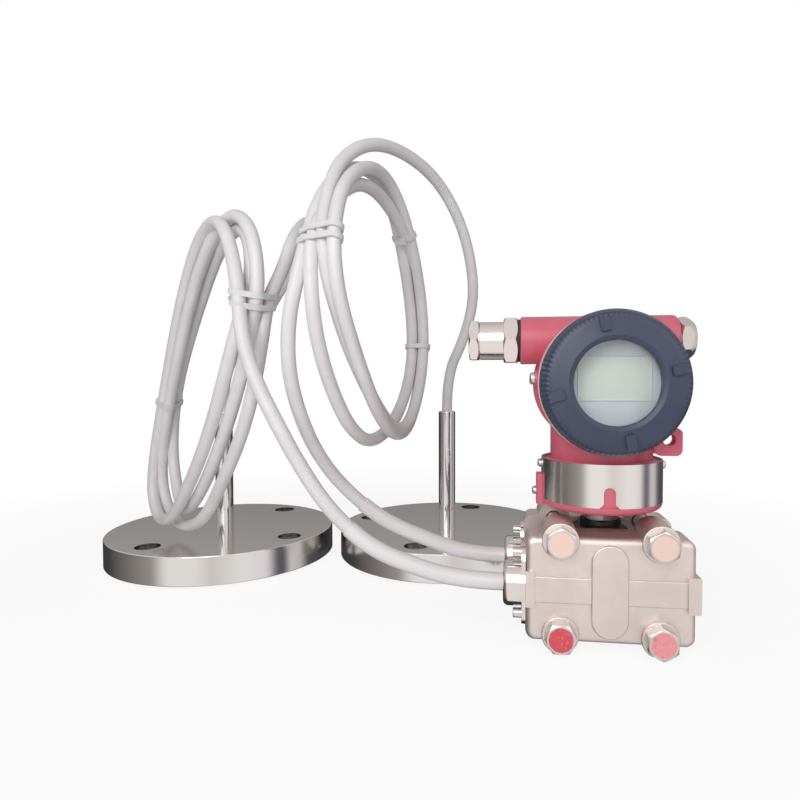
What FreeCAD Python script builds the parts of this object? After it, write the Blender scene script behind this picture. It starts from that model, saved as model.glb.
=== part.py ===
import FreeCAD, Part
import math
import os

# Differential pressure transmitter with two remote seals, in millimetres.
# +X runs to the right along the process flanges, +Y to the back and +Z up.
# Every piece is drawn about the neck axis, the vertical line through the capsule and the head,
# and moved at the end so that the origin lies under the middle of the whole part, on the floor.

V = FreeCAD.Vector
AXIS_X = V(1, 0, 0)
AXIS_Y = V(0, 1, 0)
AXIS_Z = V(0, 0, 1)

# ---------------------------------------------------------------- driving dimensions
RUNNING_FIT = 0.05          # radial clearance of a shaft that turns in its hole
LOOSE_FIT = 0.5             # radial clearance of a bolt in its hole
SEAT_GAP = 0.3              # gap between a turning piece and the face beside it

# Process flanges and capsule
BOLT_SPACING_X = 55.0
BOLT_SPACING_Z = 53.5
BOLT_RISE = 9.3             # axes of the lower bolts above the floor
BOLT_RADIUS = 5.0
BOLT_HEX = 16.0
BOLT_HEAD_HEIGHT = 6.4
NUT_HEIGHT = 8.4
BOLT_TAIL = 3.0             # thread that shows behind the nut
BOLT_HEAD_TURNS = (1.0, 31.0, 28.0, 30.0)
BOSS_RADIUS = 10.5
BOSS_PROUD = 2.5
FLANGE_WIDTH = 94.0
FLANGE_HEIGHT = 60.5
FLANGE_DROP = 1.5           # middle of the flange's front below the middle of the bolts
FLANGE_THICKNESS = 24.0
FLANGE_CORNER = 5.5
FLANGE_EDGE = 4.0
PAD_WIDTH = 20.5
PAD_HEIGHT = 53.2
PAD_PROUD = 1.8
RIB_HEIGHT = 15.0
RIB_PROUD = 0.9
END_BLOCK_HEIGHT = 20.5
END_BLOCK_WIDTH = 7.0
END_BLOCK_PROUD = 2.0
CAPSULE_RADIUS = 29.5
CAPSULE_LENGTH = 30.0
CHAMBER_RADIUS = 24.0
CHAMBER_DEPTH = 3.0
GASKET_WIDTH = 3.3
GASKET_THICKNESS = 1.2
DIAPHRAGM_THICKNESS = 0.3
PORT_DROP = 2.0             # the ports lie this far below the middle of the bolts
PORT_RADIUS = 6.0
PORT_DEPTH = 28.0
PORT_PASSAGE_RADIUS = 3.0

# Capillary adapters on the left ends of the process flanges
ADAPTER_PLATE_THICKNESS = 2.2
ADAPTER_PLATE_WIDTH = 22.0
ADAPTER_SCREW_SPACING = 36.4
ADAPTER_SCREW_RADIUS = 2.0
ADAPTER_SCREW_HEAD_RADIUS = 2.9
ADAPTER_SCREW_HEAD_HEIGHT = 5.0
ADAPTER_SCREW_LENGTH = 8.0
ADAPTER_CAP_RADIUS = 13.3
ADAPTER_CAP_LENGTH = 10.8
ADAPTER_CAP_ROUND = 3.0
ADAPTER_SPIGOT_LENGTH = 12.0

# Neck
NECK_HEX = 20.0
NECK_HEX_HEIGHT = 8.4
NECK_SPIGOT_RADIUS = 9.0
NECK_SPIGOT_LENGTH = 15.0
CAPSULE_BOSS_RADIUS = 12.5
CAPSULE_BOSS_RISE = 2.25    # flat top of the boss above the capsule's crown

# Housing
BASE_RADIUS = 36.6
BASE_ROUND = 4.0
BASE_RIM_HEIGHT = 4.5
BAND_HEIGHT = 25.0
BAND_THICKNESS = 1.0
BAND_NOTCH_WIDTH = 6.6
BAND_NOTCH_HEIGHT = 12.0
BAND_NOTCH_FLARE = 2.5
THROAT_RADIUS = 31.0
BARREL_AXIS_RISE = 75.8     # barrel axis above the underside of the base
BARREL_RIM_RADIUS = 41.0
BARREL_RIM_WIDTH = 9.0
BARREL_WAIST_RADIUS = 38.6
BARREL_FRONT = 38.0
BARREL_BACK = 34.0
NECK_RING_RADIUS = 36.5
NECK_RING_LENGTH = 12.0
COMPARTMENT_RADIUS = 33.5
WALL_FRONT = 12.0
WALL_THICKNESS = 4.0
CONDUIT_RADIUS = 14.9
CONDUIT_RISE = 26.8         # conduit axis above the barrel axis
GLAND_SIDE_REACH = 50.0
PLUG_SIDE_REACH = 44.6
CONDUIT_BORE_RADIUS = 10.0
CONDUIT_ROUND = 3.5
LUG_REACH = 38.6
LUG_DROP = 40.4             # lower edge of the cover-lock lug below the barrel axis
LUG_WIDTH = 15.0
LUG_HEIGHT = 15.5
LUG_THICKNESS = 9.0
LUG_HOLE_RADIUS = 3.5
LUG_HOLE_INSET = 7.0        # hole from the right edge of the lug
LUG_HOLE_RISE = 9.0         # hole above the lower edge of the lug
LUG_ROUND = 3.5
WIRE_PASSAGE_RADIUS = 6.0

# Covers
COVER_RADIUS = 40.0
COVER_SKIRT = 13.0
COVER_DEPTH = 22.0
COVER_FACE_RADIUS = 34.0
COVER_SHOULDER = 37.6
COVER_EDGE = 3.0
WINDOW_RADIUS = 22.8
COVER_LIP_WIDTH = 2.5
GLASS_RADIUS = 27.0
REAR_POCKET_RADIUS = 25.0     # shallow pocket inside the rear cover
GLASS_THICKNESS = 5.0
GLASS_SEAT_CLEARANCE = 0.2
RETAINER_THICKNESS = 2.6
RETAINER_RADIUS = 32.5
RETAINER_BORE = 24.0
O_RING_THICKNESS = 1.4
O_RING_PROUD = 0.5
LUG_COUNT = 4
COVER_LUG_WIDTH = 5.2
COVER_LUG_INNER = 28.0
COVER_LUG_OUTER = 36.5
COVER_LUG_PROUD = 0.9
COVER_LUG_TURN = 12.5

# Display and electronics
LCD_WIDTH = 39.0
LCD_HEIGHT = 24.0
LCD_THICKNESS = 1.6
LCD_PROUD = 0.3
LCD_RISE = 2.4
MODULE_RADIUS = 31.0
MODULE_THICKNESS = 12.0
MODULE_SETBACK = 4.0        # module face behind the mouth of the front neck ring
BOARD_RADIUS = 31.5
BOARD_THICKNESS = 1.6
POST_RADIUS = 2.6
POST_LENGTH = 12.0
POST_CIRCLE = 27.0
POST_COUNT = 3
TERMINAL_WIDTH = 44.0
TERMINAL_HEIGHT = 24.0
TERMINAL_DEPTH = 16.0
TERMINAL_COUNT = 3
TERMINAL_SLOT_DEPTH = 6.0
TERMINAL_WALL = 3.0
TERMINAL_SCREW_RADIUS = 3.4
TERMINAL_SCREW_HEIGHT = 3.0

# Small screws of the head
EARTH_BOSS_RADIUS = 5.0
EARTH_BOSS_Y = -20.0
EARTH_BOSS_REACH = 42.0
EARTH_SCREW_RISE = 2.7
EARTH_SCREW_RADIUS = 2.0
EARTH_SCREW_HEAD_RADIUS = 3.6
EARTH_SCREW_HEAD_HEIGHT = 2.8
BAND_SCREW_RADIUS = 1.5
BAND_SCREW_HEAD_RADIUS = 2.6
BAND_SCREW_HEAD_HEIGHT = 2.4
BAND_SCREW_DROP = 4.0       # below the upper edge of the band
EAR_REACH = 39.8
EAR_WIDTH = 10.0
EAR_HEIGHT = 19.0
EAR_ROUND = 1.5
LOCK_SCREW_RADIUS = 2.0
LOCK_SCREW_HEAD_RADIUS = 2.6
LOCK_SCREW_HEAD_HEIGHT = 2.6
LOCK_SCREW_RISE = 8.0
SCREW_LENGTH = 5.0

# Cable gland and blanking plug
WASHER_RADIUS = 13.4
WASHER_THICKNESS = 1.6
GLAND_HEX = 27.5
GLAND_HEX_LENGTH = 9.0
GLAND_BARREL_RADIUS = 12.0
GLAND_BARREL_LENGTH = 14.9
GLAND_THREAD_LENGTH = 12.0
GLAND_NUT_HEX = 24.0
GLAND_NUT_LENGTH = 6.3
GLAND_COLLAR_RADIUS = 8.8
GLAND_COLLAR_LENGTH = 5.0
GLAND_BORE_RADIUS = 6.8
GROMMET_LENGTH = 13.0
CABLE_HOLE_RADIUS = 4.5
PLUG_HEX = 23.8
PLUG_HEAD_LENGTH = 9.4
PLUG_THREAD_LENGTH = 10.0

# Remote seals
SEAL_RADIUS = 95.25
SEAL_THICKNESS = 24.0
SEAL_FACE_RADIUS = 63.5
SEAL_FACE_HEIGHT = 1.6
SEAL_EDGE = 0.8
SEAL_BOLT_INSET = 19.05      # bolt circle of 152.4 from the rim
SEAL_BOLT_COUNT = 4
SEAL_BOLT_RADIUS = 9.525
SEAL_DIAPHRAGM_RADIUS = 33.0
SEAL_DIAPHRAGM_THICKNESS = 0.4
SEAL_DIAPHRAGM_RECESS = 0.6
STEM_RADIUS = 7.5
STEM_LENGTH = 103.0
STEM_CHAMFER = 1.0
LEFT_SEAL = (-311.7, 119.0)
LEFT_SEAL_TURN = -20.8
RIGHT_SEAL = (-114.0, 150.5)
RIGHT_SEAL_TURN = -12.2

# Capillaries: jacketed armoured tube, three turns tied into a standing coil on each
CAPILLARY_RADIUS = 4.55
SLEEVE_RADIUS = 5.6
COIL_TURNS = 3
COIL_THICKNESS = 18.0
TIE_WIDTH = 4.6
TIE_THICKNESS = 1.3
TIE_PITCH = 9.0

# Each coil is a leaning oval: its middle, half length, half width and end radius, the way its plane
# heads, the plane's lean and the tilt of the long axis in that plane.
LEFT_COIL = dict(middle=(-287.0, 40.5, 149.5), half_length=133.0, half_width=55.0, end_radius=36.0,
                 heading=139.5, lean=-1.0, tilt=34.0)
RIGHT_COIL = dict(middle=(-152.0, 38.0, 206.0), half_length=92.0, half_width=68.0, end_radius=46.0,
                  heading=75.0, lean=2.0, tilt=8.0)
LEFT_TIE_ANGLES = (112.0, -46.0)
RIGHT_TIE_ANGLES = (140.0, 48.0, -25.0)

# Routes of the stretches that are not coiled, from the neck axis. The first point of a way in is
# the mouth of its adapter, and the last point of a way out is the top of its stem.
FRONT_WAY_IN = ((-84.0, -27.0, 34.05), (-112.0, -28.5, 41.0), (-141.0, -30.0, 52.5),
                (-166.0, -30.5, 75.0), (-183.0, -34.0, 102.0), (-197.5, -36.5, 130.0),
                (-211.0, -35.0, 155.0), (-221.5, -29.5, 180.0), (-227.5, -21.5, 204.0))
FRONT_WAY_OUT = ((-214.5, -7.0, 206.0), (-209.0, 6.0, 229.0), (-206.0, 18.0, 254.0),
                 (-208.0, 48.0, 278.0), (-218.0, 83.0, 282.0), (-235.0, 110.0, 267.0),
                 (-254.0, 119.0, 240.0), (-274.0, 119.5, 209.0), (-299.0, 119.3, 182.0),
                 (-311.7, 119.0, 155.0))
REAR_WAY_IN = ((-84.0, 27.0, 34.05), (-113.0, 25.5, 43.5), (-145.0, 22.5, 57.0),
               (-170.0, 15.0, 80.0), (-184.0, 2.0, 104.0), (-191.5, -11.0, 131.0),
               (-195.5, -20.0, 160.0), (-193.0, -26.0, 191.0), (-186.0, -27.5, 219.0),
               (-179.5, -24.0, 240.0))
REAR_WAY_OUT = ((-171.5, -9.5, 278.0), (-168.0, 8.0, 303.0), (-154.0, 31.0, 322.0),
                (-136.0, 61.0, 327.0), (-116.0, 92.0, 316.0), (-100.0, 116.0, 291.0),
                (-91.0, 130.0, 259.0), (-88.5, 136.0, 225.0), (-98.0, 142.5, 191.0),
                (-114.0, 150.5, 160.0))
SLEEVE_END_RUN = 3          # the sleeve ends in the middle of this run of the way in

# ---------------------------------------------------------------- derived places
CENTRE_Z = BOLT_RISE + BOLT_SPACING_Z / 2
FLANGE_Z = CENTRE_Z - FLANGE_DROP
FLANGE_INNER = CAPSULE_LENGTH / 2
FLANGE_OUTER = FLANGE_INNER + FLANGE_THICKNESS
BOSS_FACE = FLANGE_OUTER + BOSS_PROUD
FLANGE_END = FLANGE_WIDTH / 2
PORT_Y = FLANGE_INNER + FLANGE_THICKNESS / 2
PORT_Z = CENTRE_Z - PORT_DROP
ADAPTER_FACE = FLANGE_END + ADAPTER_PLATE_THICKNESS
ADAPTER_MOUTH = ADAPTER_FACE + ADAPTER_CAP_LENGTH
CAPSULE_BOSS_TOP = CENTRE_Z + CAPSULE_RADIUS + CAPSULE_BOSS_RISE
NECK_SHOULDER = CAPSULE_BOSS_TOP + NECK_HEX_HEIGHT
BASE_BOTTOM = NECK_SHOULDER + SEAT_GAP
BAND_BOTTOM = BASE_BOTTOM + BASE_RIM_HEIGHT
BAND_TOP = BAND_BOTTOM + BAND_HEIGHT
BAND_INNER = BASE_RADIUS - BAND_THICKNESS
BARREL_Z = BASE_BOTTOM + BARREL_AXIS_RISE
CONDUIT_Z = BARREL_Z + CONDUIT_RISE
WALL_BACK = WALL_FRONT - WALL_THICKNESS
GLASS_BACK = NECK_RING_LENGTH + LOOSE_FIT
GLASS_FRONT = GLASS_BACK + GLASS_THICKNESS
MODULE_FACE = BARREL_FRONT + NECK_RING_LENGTH - MODULE_SETBACK
BOARD_FACE = WALL_FRONT + POST_LENGTH + BOARD_THICKNESS
GLAND_START = GLAND_SIDE_REACH + WASHER_THICKNESS
GLAND_BARREL_START = GLAND_START + GLAND_HEX_LENGTH
GLAND_BARREL_END = GLAND_BARREL_START + GLAND_BARREL_LENGTH
GLAND_NUT_START = GLAND_BARREL_END + SEAT_GAP
STEM_TOP = SEAL_THICKNESS + STEM_LENGTH

COIL_WIDTH = COIL_TURNS * 2 * CAPILLARY_RADIUS

# Overall box without the capillaries: the origin goes under its middle.
PART_LEFT = LEFT_SEAL[0] - SEAL_RADIUS
PART_RIGHT = PLUG_SIDE_REACH + PLUG_HEAD_LENGTH + SEAT_GAP
PART_FRONT = -(BARREL_FRONT + COVER_DEPTH + COVER_LUG_PROUD)
PART_BACK = RIGHT_SEAL[1] + SEAL_RADIUS
ORIGIN = V((PART_LEFT + PART_RIGHT) / 2, (PART_FRONT + PART_BACK) / 2, 0)


# ---------------------------------------------------------------- drawing helpers
def rounded_edges(points, radii, closed):
    """Straight runs through the points, with a tangent arc at each point that has a radius."""
    count = len(points)
    entries = []
    for index, point in enumerate(points):
        inner = closed or 0 < index < count - 1
        if not inner or radii[index] <= 0:
            entries.append((point, None, point))
            continue
        back = (points[index - 1] - point).normalize()
        ahead = (points[(index + 1) % count] - point).normalize()
        half = back.getAngle(ahead) / 2
        reach = radii[index] / math.tan(half)
        middle = (back + ahead).normalize() * (radii[index] / math.sin(half) - radii[index])
        entries.append((point + back * reach, point + middle, point + ahead * reach))
    edges = []
    for index, (start, middle, end) in enumerate(entries):
        if middle is not None:
            edges.append(Part.Arc(start, middle, end).toShape())
        if closed or index < count - 1:
            onward = entries[(index + 1) % count][0]
            if (onward - end).Length > 1e-6:
                edges.append(Part.LineSegment(end, onward).toShape())
    return edges


def outline(corners):
    """Closed flat face in XY from corners (x, y) or (x, y, radius)."""
    points = [V(corner[0], corner[1], 0) for corner in corners]
    radii = [corner[2] if len(corner) > 2 else 0 for corner in corners]
    return Part.Face(Part.Wire(rounded_edges(points, radii, True)))


def turned(profile, origin, axis):
    """Turned piece: a closed profile of (radius, distance along the axis) spun about the axis."""
    face = outline(profile)
    face.rotate(V(0, 0, 0), AXIS_X, 90)
    solid = face.revolve(V(0, 0, 0), AXIS_Z, 360)
    return placed(solid, origin, axis)


def placed(shape, origin, axis):
    """The shape with its own Z axis laid along the given axis, at the given origin."""
    moved = shape.copy()
    moved.Placement = FreeCAD.Placement(origin, FreeCAD.Rotation(AXIS_Z, axis)).multiply(shape.Placement)
    return moved


def ring(inner, outer, start, end, origin, axis):
    """Plain ring between two distances along an axis."""
    return turned([(inner, start), (outer, start), (outer, end), (inner, end)], origin, axis)


def rod(radius, start, end, origin, axis):
    """Plain round bar between two distances along an axis."""
    return Part.makeCylinder(radius, end - start, origin + axis * start, axis)


def slab(corners, thickness):
    """Outline of corners raised along +Z by a thickness."""
    return outline(corners).extrude(V(0, 0, thickness))


def facing_front(shape):
    """Turn a piece drawn in XY with its thickness along Z so that Z looks to the front (-Y)."""
    turned_shape = shape.copy()
    turned_shape.rotate(V(0, 0, 0), AXIS_X, 90)
    return turned_shape


def rectangle(width, height, corner=0.0, centre=(0.0, 0.0)):
    x, y = centre
    half_w = width / 2
    half_h = height / 2
    return [(x - half_w, y - half_h, corner), (x + half_w, y - half_h, corner),
            (x + half_w, y + half_h, corner), (x - half_w, y + half_h, corner)]


def obround(width, height, centre=(0.0, 0.0)):
    """Upright slot shape with half-round ends."""
    x, y = centre
    radius = width / 2
    rise = height / 2 - radius
    low = V(x, y - rise, 0)
    high = V(x, y + rise, 0)
    side = V(radius, 0, 0)
    edges = [Part.LineSegment(low + side, high + side).toShape(),
             Part.Arc(high + side, high + V(0, radius, 0), high - side).toShape(),
             Part.LineSegment(high - side, low - side).toShape(),
             Part.Arc(low - side, low - V(0, radius, 0), low + side).toShape()]
    return Part.Face(Part.Wire(edges))


def hexagon(across_flats, length, chamfered_ends, turn=0.0):
    """Hexagon bar along +Z from 0 to its length, its corners chamfered at the ends named."""
    corner = across_flats / math.sqrt(3)
    points = []
    for side in range(6):
        angle = math.radians(60 * side + turn)
        points.append((corner * math.cos(angle), corner * math.sin(angle)))
    bar = slab(points, length)
    drop = (corner - across_flats / 2) * 0.75
    low = drop if "low" in chamfered_ends else 0.0
    high = drop if "high" in chamfered_ends else 0.0
    rim = across_flats / 2 * 0.98
    profile = [(0, 0), (rim if low else corner + 1, 0), (corner + 1, low + low / 2),
               (corner + 1, length - high - high / 2), (rim if high else corner + 1, length), (0, length)]
    profile = [point for index, point in enumerate(profile) if index == 0 or point != profile[index - 1]]
    return bar.common(turned(profile, V(0, 0, 0), AXIS_Z))


def joined(shapes):
    """One solid from overlapping shapes, with the seams between flush faces removed."""
    first = shapes[0]
    return first.fuse(shapes[1:]).removeSplitter()


def mirrored_to_back(shape):
    return shape.mirror(V(0, 0, 0), AXIS_Y)


# ---------------------------------------------------------------- capsule and process flanges
def bolt_places():
    """Bolt axes as (x, z), from the lower left round to the upper left."""
    low = CENTRE_Z - BOLT_SPACING_Z / 2
    high = CENTRE_Z + BOLT_SPACING_Z / 2
    side = BOLT_SPACING_X / 2
    return [(-side, low), (side, low), (side, high), (-side, high)]


def process_flange():
    """Cast front process flange: block with four bolt bosses, cross rib and upright obround pad."""
    block = slab(rectangle(FLANGE_WIDTH, FLANGE_HEIGHT, FLANGE_CORNER), FLANGE_THICKNESS)
    front_edges = [edge for edge in block.Edges if edge.BoundBox.ZMin > FLANGE_THICKNESS - 0.01]
    block = block.makeFillet(FLANGE_EDGE, front_edges)
    pieces = [block]
    for x, z in bolt_places():
        boss = turned([(0, 0), (BOSS_RADIUS, 0), (BOSS_RADIUS, FLANGE_THICKNESS + BOSS_PROUD, 0.8),
                       (0, FLANGE_THICKNESS + BOSS_PROUD)], V(x, z - FLANGE_Z, 0), AXIS_Z)
        pieces.append(boss)
    sunk = 2.0
    pad = obround(PAD_WIDTH, PAD_HEIGHT).extrude(V(0, 0, PAD_PROUD + sunk))
    pad_rim = [edge for edge in pad.Edges if edge.BoundBox.ZMin > PAD_PROUD + sunk - 0.01]
    pad = pad.makeFillet(PAD_PROUD * 0.5, pad_rim)
    pad.translate(V(0, 0, FLANGE_THICKNESS - sunk))
    pieces.append(pad)
    rib = slab(rectangle(FLANGE_WIDTH - END_BLOCK_WIDTH, RIB_HEIGHT, 0), RIB_PROUD + sunk)
    rib_edges = [edge for edge in rib.Edges if edge.BoundBox.ZMin > RIB_PROUD + sunk - 0.01]
    rib = rib.makeFillet(RIB_PROUD * 0.8, rib_edges)
    rib.translate(V(0, 0, FLANGE_THICKNESS - sunk))
    pieces.append(rib)
    block_depth = FLANGE_THICKNESS / 2 + END_BLOCK_PROUD
    for side, proud in ((-1, 0.0), (1, END_BLOCK_PROUD)):
        width = END_BLOCK_WIDTH - END_BLOCK_PROUD + proud
        x = side * (FLANGE_END + proud - width / 2)
        end_block = slab(rectangle(width, END_BLOCK_HEIGHT, 0.8, (x, 0)), block_depth)
        end_block.translate(V(0, 0, FLANGE_THICKNESS + END_BLOCK_PROUD - block_depth))
        pieces.append(end_block)
    flange = facing_front(joined(pieces))
    flange.translate(V(0, -FLANGE_INNER, FLANGE_Z))
    return flange.cut(flange_hollows())


def flange_hollows():
    """Bolt holes, flat feet, process chamber with its gasket step, port, passage and screw holes."""
    below = 2 * BOSS_RADIUS
    tools = [Part.makeBox(2 * FLANGE_WIDTH, 2 * BOSS_FACE, below, V(-FLANGE_WIDTH, -2 * BOSS_FACE, -below))]
    for x, z in bolt_places():
        tools.append(rod(BOLT_RADIUS + LOOSE_FIT, 0, BOSS_FACE + 1, V(x, 0, z), -AXIS_Y))
    middle = V(0, 0, CENTRE_Z)
    tools.append(rod(CHAMBER_RADIUS, FLANGE_INNER - 1, FLANGE_INNER + CHAMBER_DEPTH, middle, -AXIS_Y))
    step = CHAMBER_RADIUS + GASKET_WIDTH
    tools.append(rod(step, FLANGE_INNER - 1, FLANGE_INNER + GASKET_THICKNESS, middle, -AXIS_Y))
    mouth = V(-FLANGE_END, -PORT_Y, PORT_Z)
    tools.append(rod(PORT_RADIUS, -1, PORT_DEPTH, mouth, AXIS_X))
    tools.append(rod(PORT_PASSAGE_RADIUS, 0, FLANGE_THICKNESS / 2,
                     mouth + AXIS_X * (PORT_DEPTH - PORT_PASSAGE_RADIUS), AXIS_Y))
    for z in adapter_screw_heights():
        tools.append(rod(ADAPTER_SCREW_RADIUS, -1, ADAPTER_SCREW_LENGTH, V(-FLANGE_END, -PORT_Y, z), AXIS_X))
    return tools


def sensor_capsule():
    """Measuring cell: drum between the flanges, a spigot into each chamber and a flat boss on top."""
    half = CAPSULE_LENGTH / 2
    tip = half + CHAMBER_DEPTH - 2 * DIAPHRAGM_THICKNESS
    spigot = CHAMBER_RADIUS - LOOSE_FIT
    profile = [(0, -tip), (spigot, -tip), (spigot, -half), (CAPSULE_RADIUS, -half, 1.0),
               (CAPSULE_RADIUS, half, 1.0), (spigot, half), (spigot, tip), (0, tip)]
    drum = turned(profile, V(0, 0, CENTRE_Z), AXIS_Y)
    boss = rod(CAPSULE_BOSS_RADIUS, CENTRE_Z, CAPSULE_BOSS_TOP, V(0, 0, 0), AXIS_Z)
    return joined([drum, boss])


def both_sides(front_shape):
    """The same piece at the front and mirrored at the back."""
    return Part.Compound([front_shape, mirrored_to_back(front_shape)])


def isolating_diaphragms():
    tip = FLANGE_INNER + CHAMBER_DEPTH - 2 * DIAPHRAGM_THICKNESS
    disc = rod(CHAMBER_RADIUS - 2 * LOOSE_FIT, tip, tip + DIAPHRAGM_THICKNESS, V(0, 0, CENTRE_Z), -AXIS_Y)
    return both_sides(disc)


def capsule_gaskets():
    outer = CHAMBER_RADIUS + GASKET_WIDTH
    washer = ring(CHAMBER_RADIUS, outer, FLANGE_INNER, FLANGE_INNER + GASKET_THICKNESS,
                  V(0, 0, CENTRE_Z), -AXIS_Y)
    return both_sides(washer)


def flange_bolts():
    """Four hex bolts from the front through both flanges."""
    bolts = []
    length = 2 * BOSS_FACE + NUT_HEIGHT + BOLT_TAIL
    for (x, z), turn in zip(bolt_places(), BOLT_HEAD_TURNS):
        head = placed(hexagon(BOLT_HEX, BOLT_HEAD_HEIGHT, ("high",), turn), V(x, -BOSS_FACE, z), -AXIS_Y)
        shank = turned([(0, -1), (BOLT_RADIUS, -1), (BOLT_RADIUS, length - 1), (BOLT_RADIUS - 1, length),
                        (0, length)], V(x, -BOSS_FACE, z), AXIS_Y)
        bolts.append(joined([head, shank]))
    return Part.Compound(bolts)


def flange_nuts():
    nuts = []
    for x, z in bolt_places():
        nut = placed(hexagon(BOLT_HEX, NUT_HEIGHT, ("low", "high")), V(x, BOSS_FACE, z), AXIS_Y)
        nuts.append(nut.cut(rod(BOLT_RADIUS + RUNNING_FIT, -1, NUT_HEIGHT + 1, V(x, BOSS_FACE, z), AXIS_Y)))
    return Part.Compound(nuts)


# ---------------------------------------------------------------- capillary adapters
def adapter_screw_heights():
    return (PORT_Z - ADAPTER_SCREW_SPACING / 2, PORT_Z + ADAPTER_SCREW_SPACING / 2)


def capillary_adapter():
    """Welded adapter: oval plate, round polished cap and a spigot in the port of the flange."""
    origin = V(-FLANGE_END, -PORT_Y, PORT_Z)
    height = ADAPTER_SCREW_SPACING + 4 * ADAPTER_SCREW_HEAD_RADIUS
    plate = placed(obround(ADAPTER_PLATE_WIDTH, height).extrude(V(0, 0, ADAPTER_PLATE_THICKNESS)),
                   V(0, 0, 0), AXIS_Z)
    plate.rotate(V(0, 0, 0), AXIS_X, 90)
    plate.rotate(V(0, 0, 0), AXIS_Z, -90)
    plate.translate(origin)
    end = ADAPTER_PLATE_THICKNESS + ADAPTER_CAP_LENGTH
    spigot = PORT_RADIUS - RUNNING_FIT
    cap = turned([(0, -ADAPTER_SPIGOT_LENGTH), (spigot, -ADAPTER_SPIGOT_LENGTH), (spigot, 0.1),
                  (ADAPTER_CAP_RADIUS, 0.1), (ADAPTER_CAP_RADIUS, end, ADAPTER_CAP_ROUND), (0, end)],
                 origin, -AXIS_X)
    adapter = joined([plate, cap])
    for z in adapter_screw_heights():
        adapter = adapter.cut(rod(ADAPTER_SCREW_RADIUS + RUNNING_FIT, -1, ADAPTER_PLATE_THICKNESS + 1,
                                  V(-FLANGE_END, -PORT_Y, z), -AXIS_X))
    return adapter


def adapter_screws():
    """Two cheese-head screws hold each adapter plate."""
    screws = []
    for z in adapter_screw_heights():
        for y in (-PORT_Y, PORT_Y):
            head = ADAPTER_SCREW_HEAD_HEIGHT
            reach = ADAPTER_PLATE_THICKNESS + ADAPTER_SCREW_LENGTH - 1
            profile = [(0, -reach), (ADAPTER_SCREW_RADIUS - RUNNING_FIT, -reach),
                       (ADAPTER_SCREW_RADIUS - RUNNING_FIT, 0), (ADAPTER_SCREW_HEAD_RADIUS, 0),
                       (ADAPTER_SCREW_HEAD_RADIUS, head, 0.6), (0, head)]
            screws.append(turned(profile, V(-ADAPTER_FACE, y, z), -AXIS_X))
    return Part.Compound(screws)


# ---------------------------------------------------------------- neck and housing
def neck_adapter():
    """Steel neck: hexagon on the capsule boss and a spigot on which the head turns."""
    body = placed(hexagon(NECK_HEX, NECK_HEX_HEIGHT, ("low", "high"), 30.0), V(0, 0, CAPSULE_BOSS_TOP), AXIS_Z)
    spigot = turned([(0, -1), (NECK_SPIGOT_RADIUS, -1), (NECK_SPIGOT_RADIUS, NECK_SPIGOT_LENGTH, 1.0),
                     (0, NECK_SPIGOT_LENGTH)], V(0, 0, NECK_SHOULDER), AXIS_Z)
    return joined([body, spigot])


def barrel():
    """Head barrel along Y: two rims, a waist and a threaded neck ring at each end."""
    front = -BARREL_FRONT
    back = BARREL_BACK
    ramp = BARREL_RIM_RADIUS - BARREL_WAIST_RADIUS
    profile = [(0, front - NECK_RING_LENGTH), (NECK_RING_RADIUS, front - NECK_RING_LENGTH, 0.6),
               (NECK_RING_RADIUS, front), (BARREL_RIM_RADIUS, front, 0.8),
               (BARREL_RIM_RADIUS, front + BARREL_RIM_WIDTH, 1.0),
               (BARREL_WAIST_RADIUS, front + BARREL_RIM_WIDTH + ramp, 1.0),
               (BARREL_WAIST_RADIUS, back - BARREL_RIM_WIDTH - ramp, 1.0),
               (BARREL_RIM_RADIUS, back - BARREL_RIM_WIDTH, 1.0),
               (BARREL_RIM_RADIUS, back, 0.8), (NECK_RING_RADIUS, back),
               (NECK_RING_RADIUS, back + NECK_RING_LENGTH, 0.6), (0, back + NECK_RING_LENGTH)]
    return turned(profile, V(0, 0, BARREL_Z), AXIS_Y)


def conduit(side, reach, corner):
    """Conduit entry on the top of the barrel, to the left (-1) or to the right (1)."""
    return turned([(0, 0), (CONDUIT_RADIUS, 0), (CONDUIT_RADIUS, reach, corner), (0, reach)],
                  V(0, 0, CONDUIT_Z), AXIS_X * side)


def base_cup():
    """Round base under the barrel: rim, seat of the band and the throat up to the barrel."""
    top = BARREL_Z - THROAT_RADIUS / 2
    profile = [(0, BASE_BOTTOM), (BASE_RADIUS, BASE_BOTTOM, BASE_ROUND), (BASE_RADIUS, BAND_BOTTOM),
               (BAND_INNER, BAND_BOTTOM), (BAND_INNER, BAND_TOP - 1.5, 0.8),
               (THROAT_RADIUS, BAND_TOP - 0.5, 0.6), (THROAT_RADIUS, top), (0, top)]
    return turned(profile, V(0, 0, 0), AXIS_Z)


def lock_lug():
    """Drilled lug at the lower right of the front rim for locking the cover."""
    x = LUG_REACH - LUG_WIDTH / 2
    z = BARREL_Z - LUG_DROP + LUG_HEIGHT / 2
    lug = facing_front(slab(rectangle(LUG_WIDTH, LUG_HEIGHT, LUG_ROUND, (x, z)), LUG_THICKNESS))
    lug.translate(V(0, LUG_THICKNESS - BARREL_FRONT, 0))
    return lug


def lug_hole():
    x = LUG_REACH - LUG_HOLE_INSET
    z = BARREL_Z - LUG_DROP + LUG_HOLE_RISE
    return rod(LUG_HOLE_RADIUS, -1, LUG_THICKNESS + 1, V(x, -BARREL_FRONT, z), AXIS_Y)


def ear(margin=0.0):
    """Block low on the left that carries the screw which locks the turned head."""
    depth = EAR_REACH - BASE_RADIUS / 2 + margin
    block = slab(rectangle(depth, EAR_WIDTH + 2 * margin, EAR_ROUND,
                           (-EAR_REACH - margin + depth / 2, 0)), EAR_HEIGHT + margin)
    block.translate(V(0, 0, BASE_BOTTOM))
    return block


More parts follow.
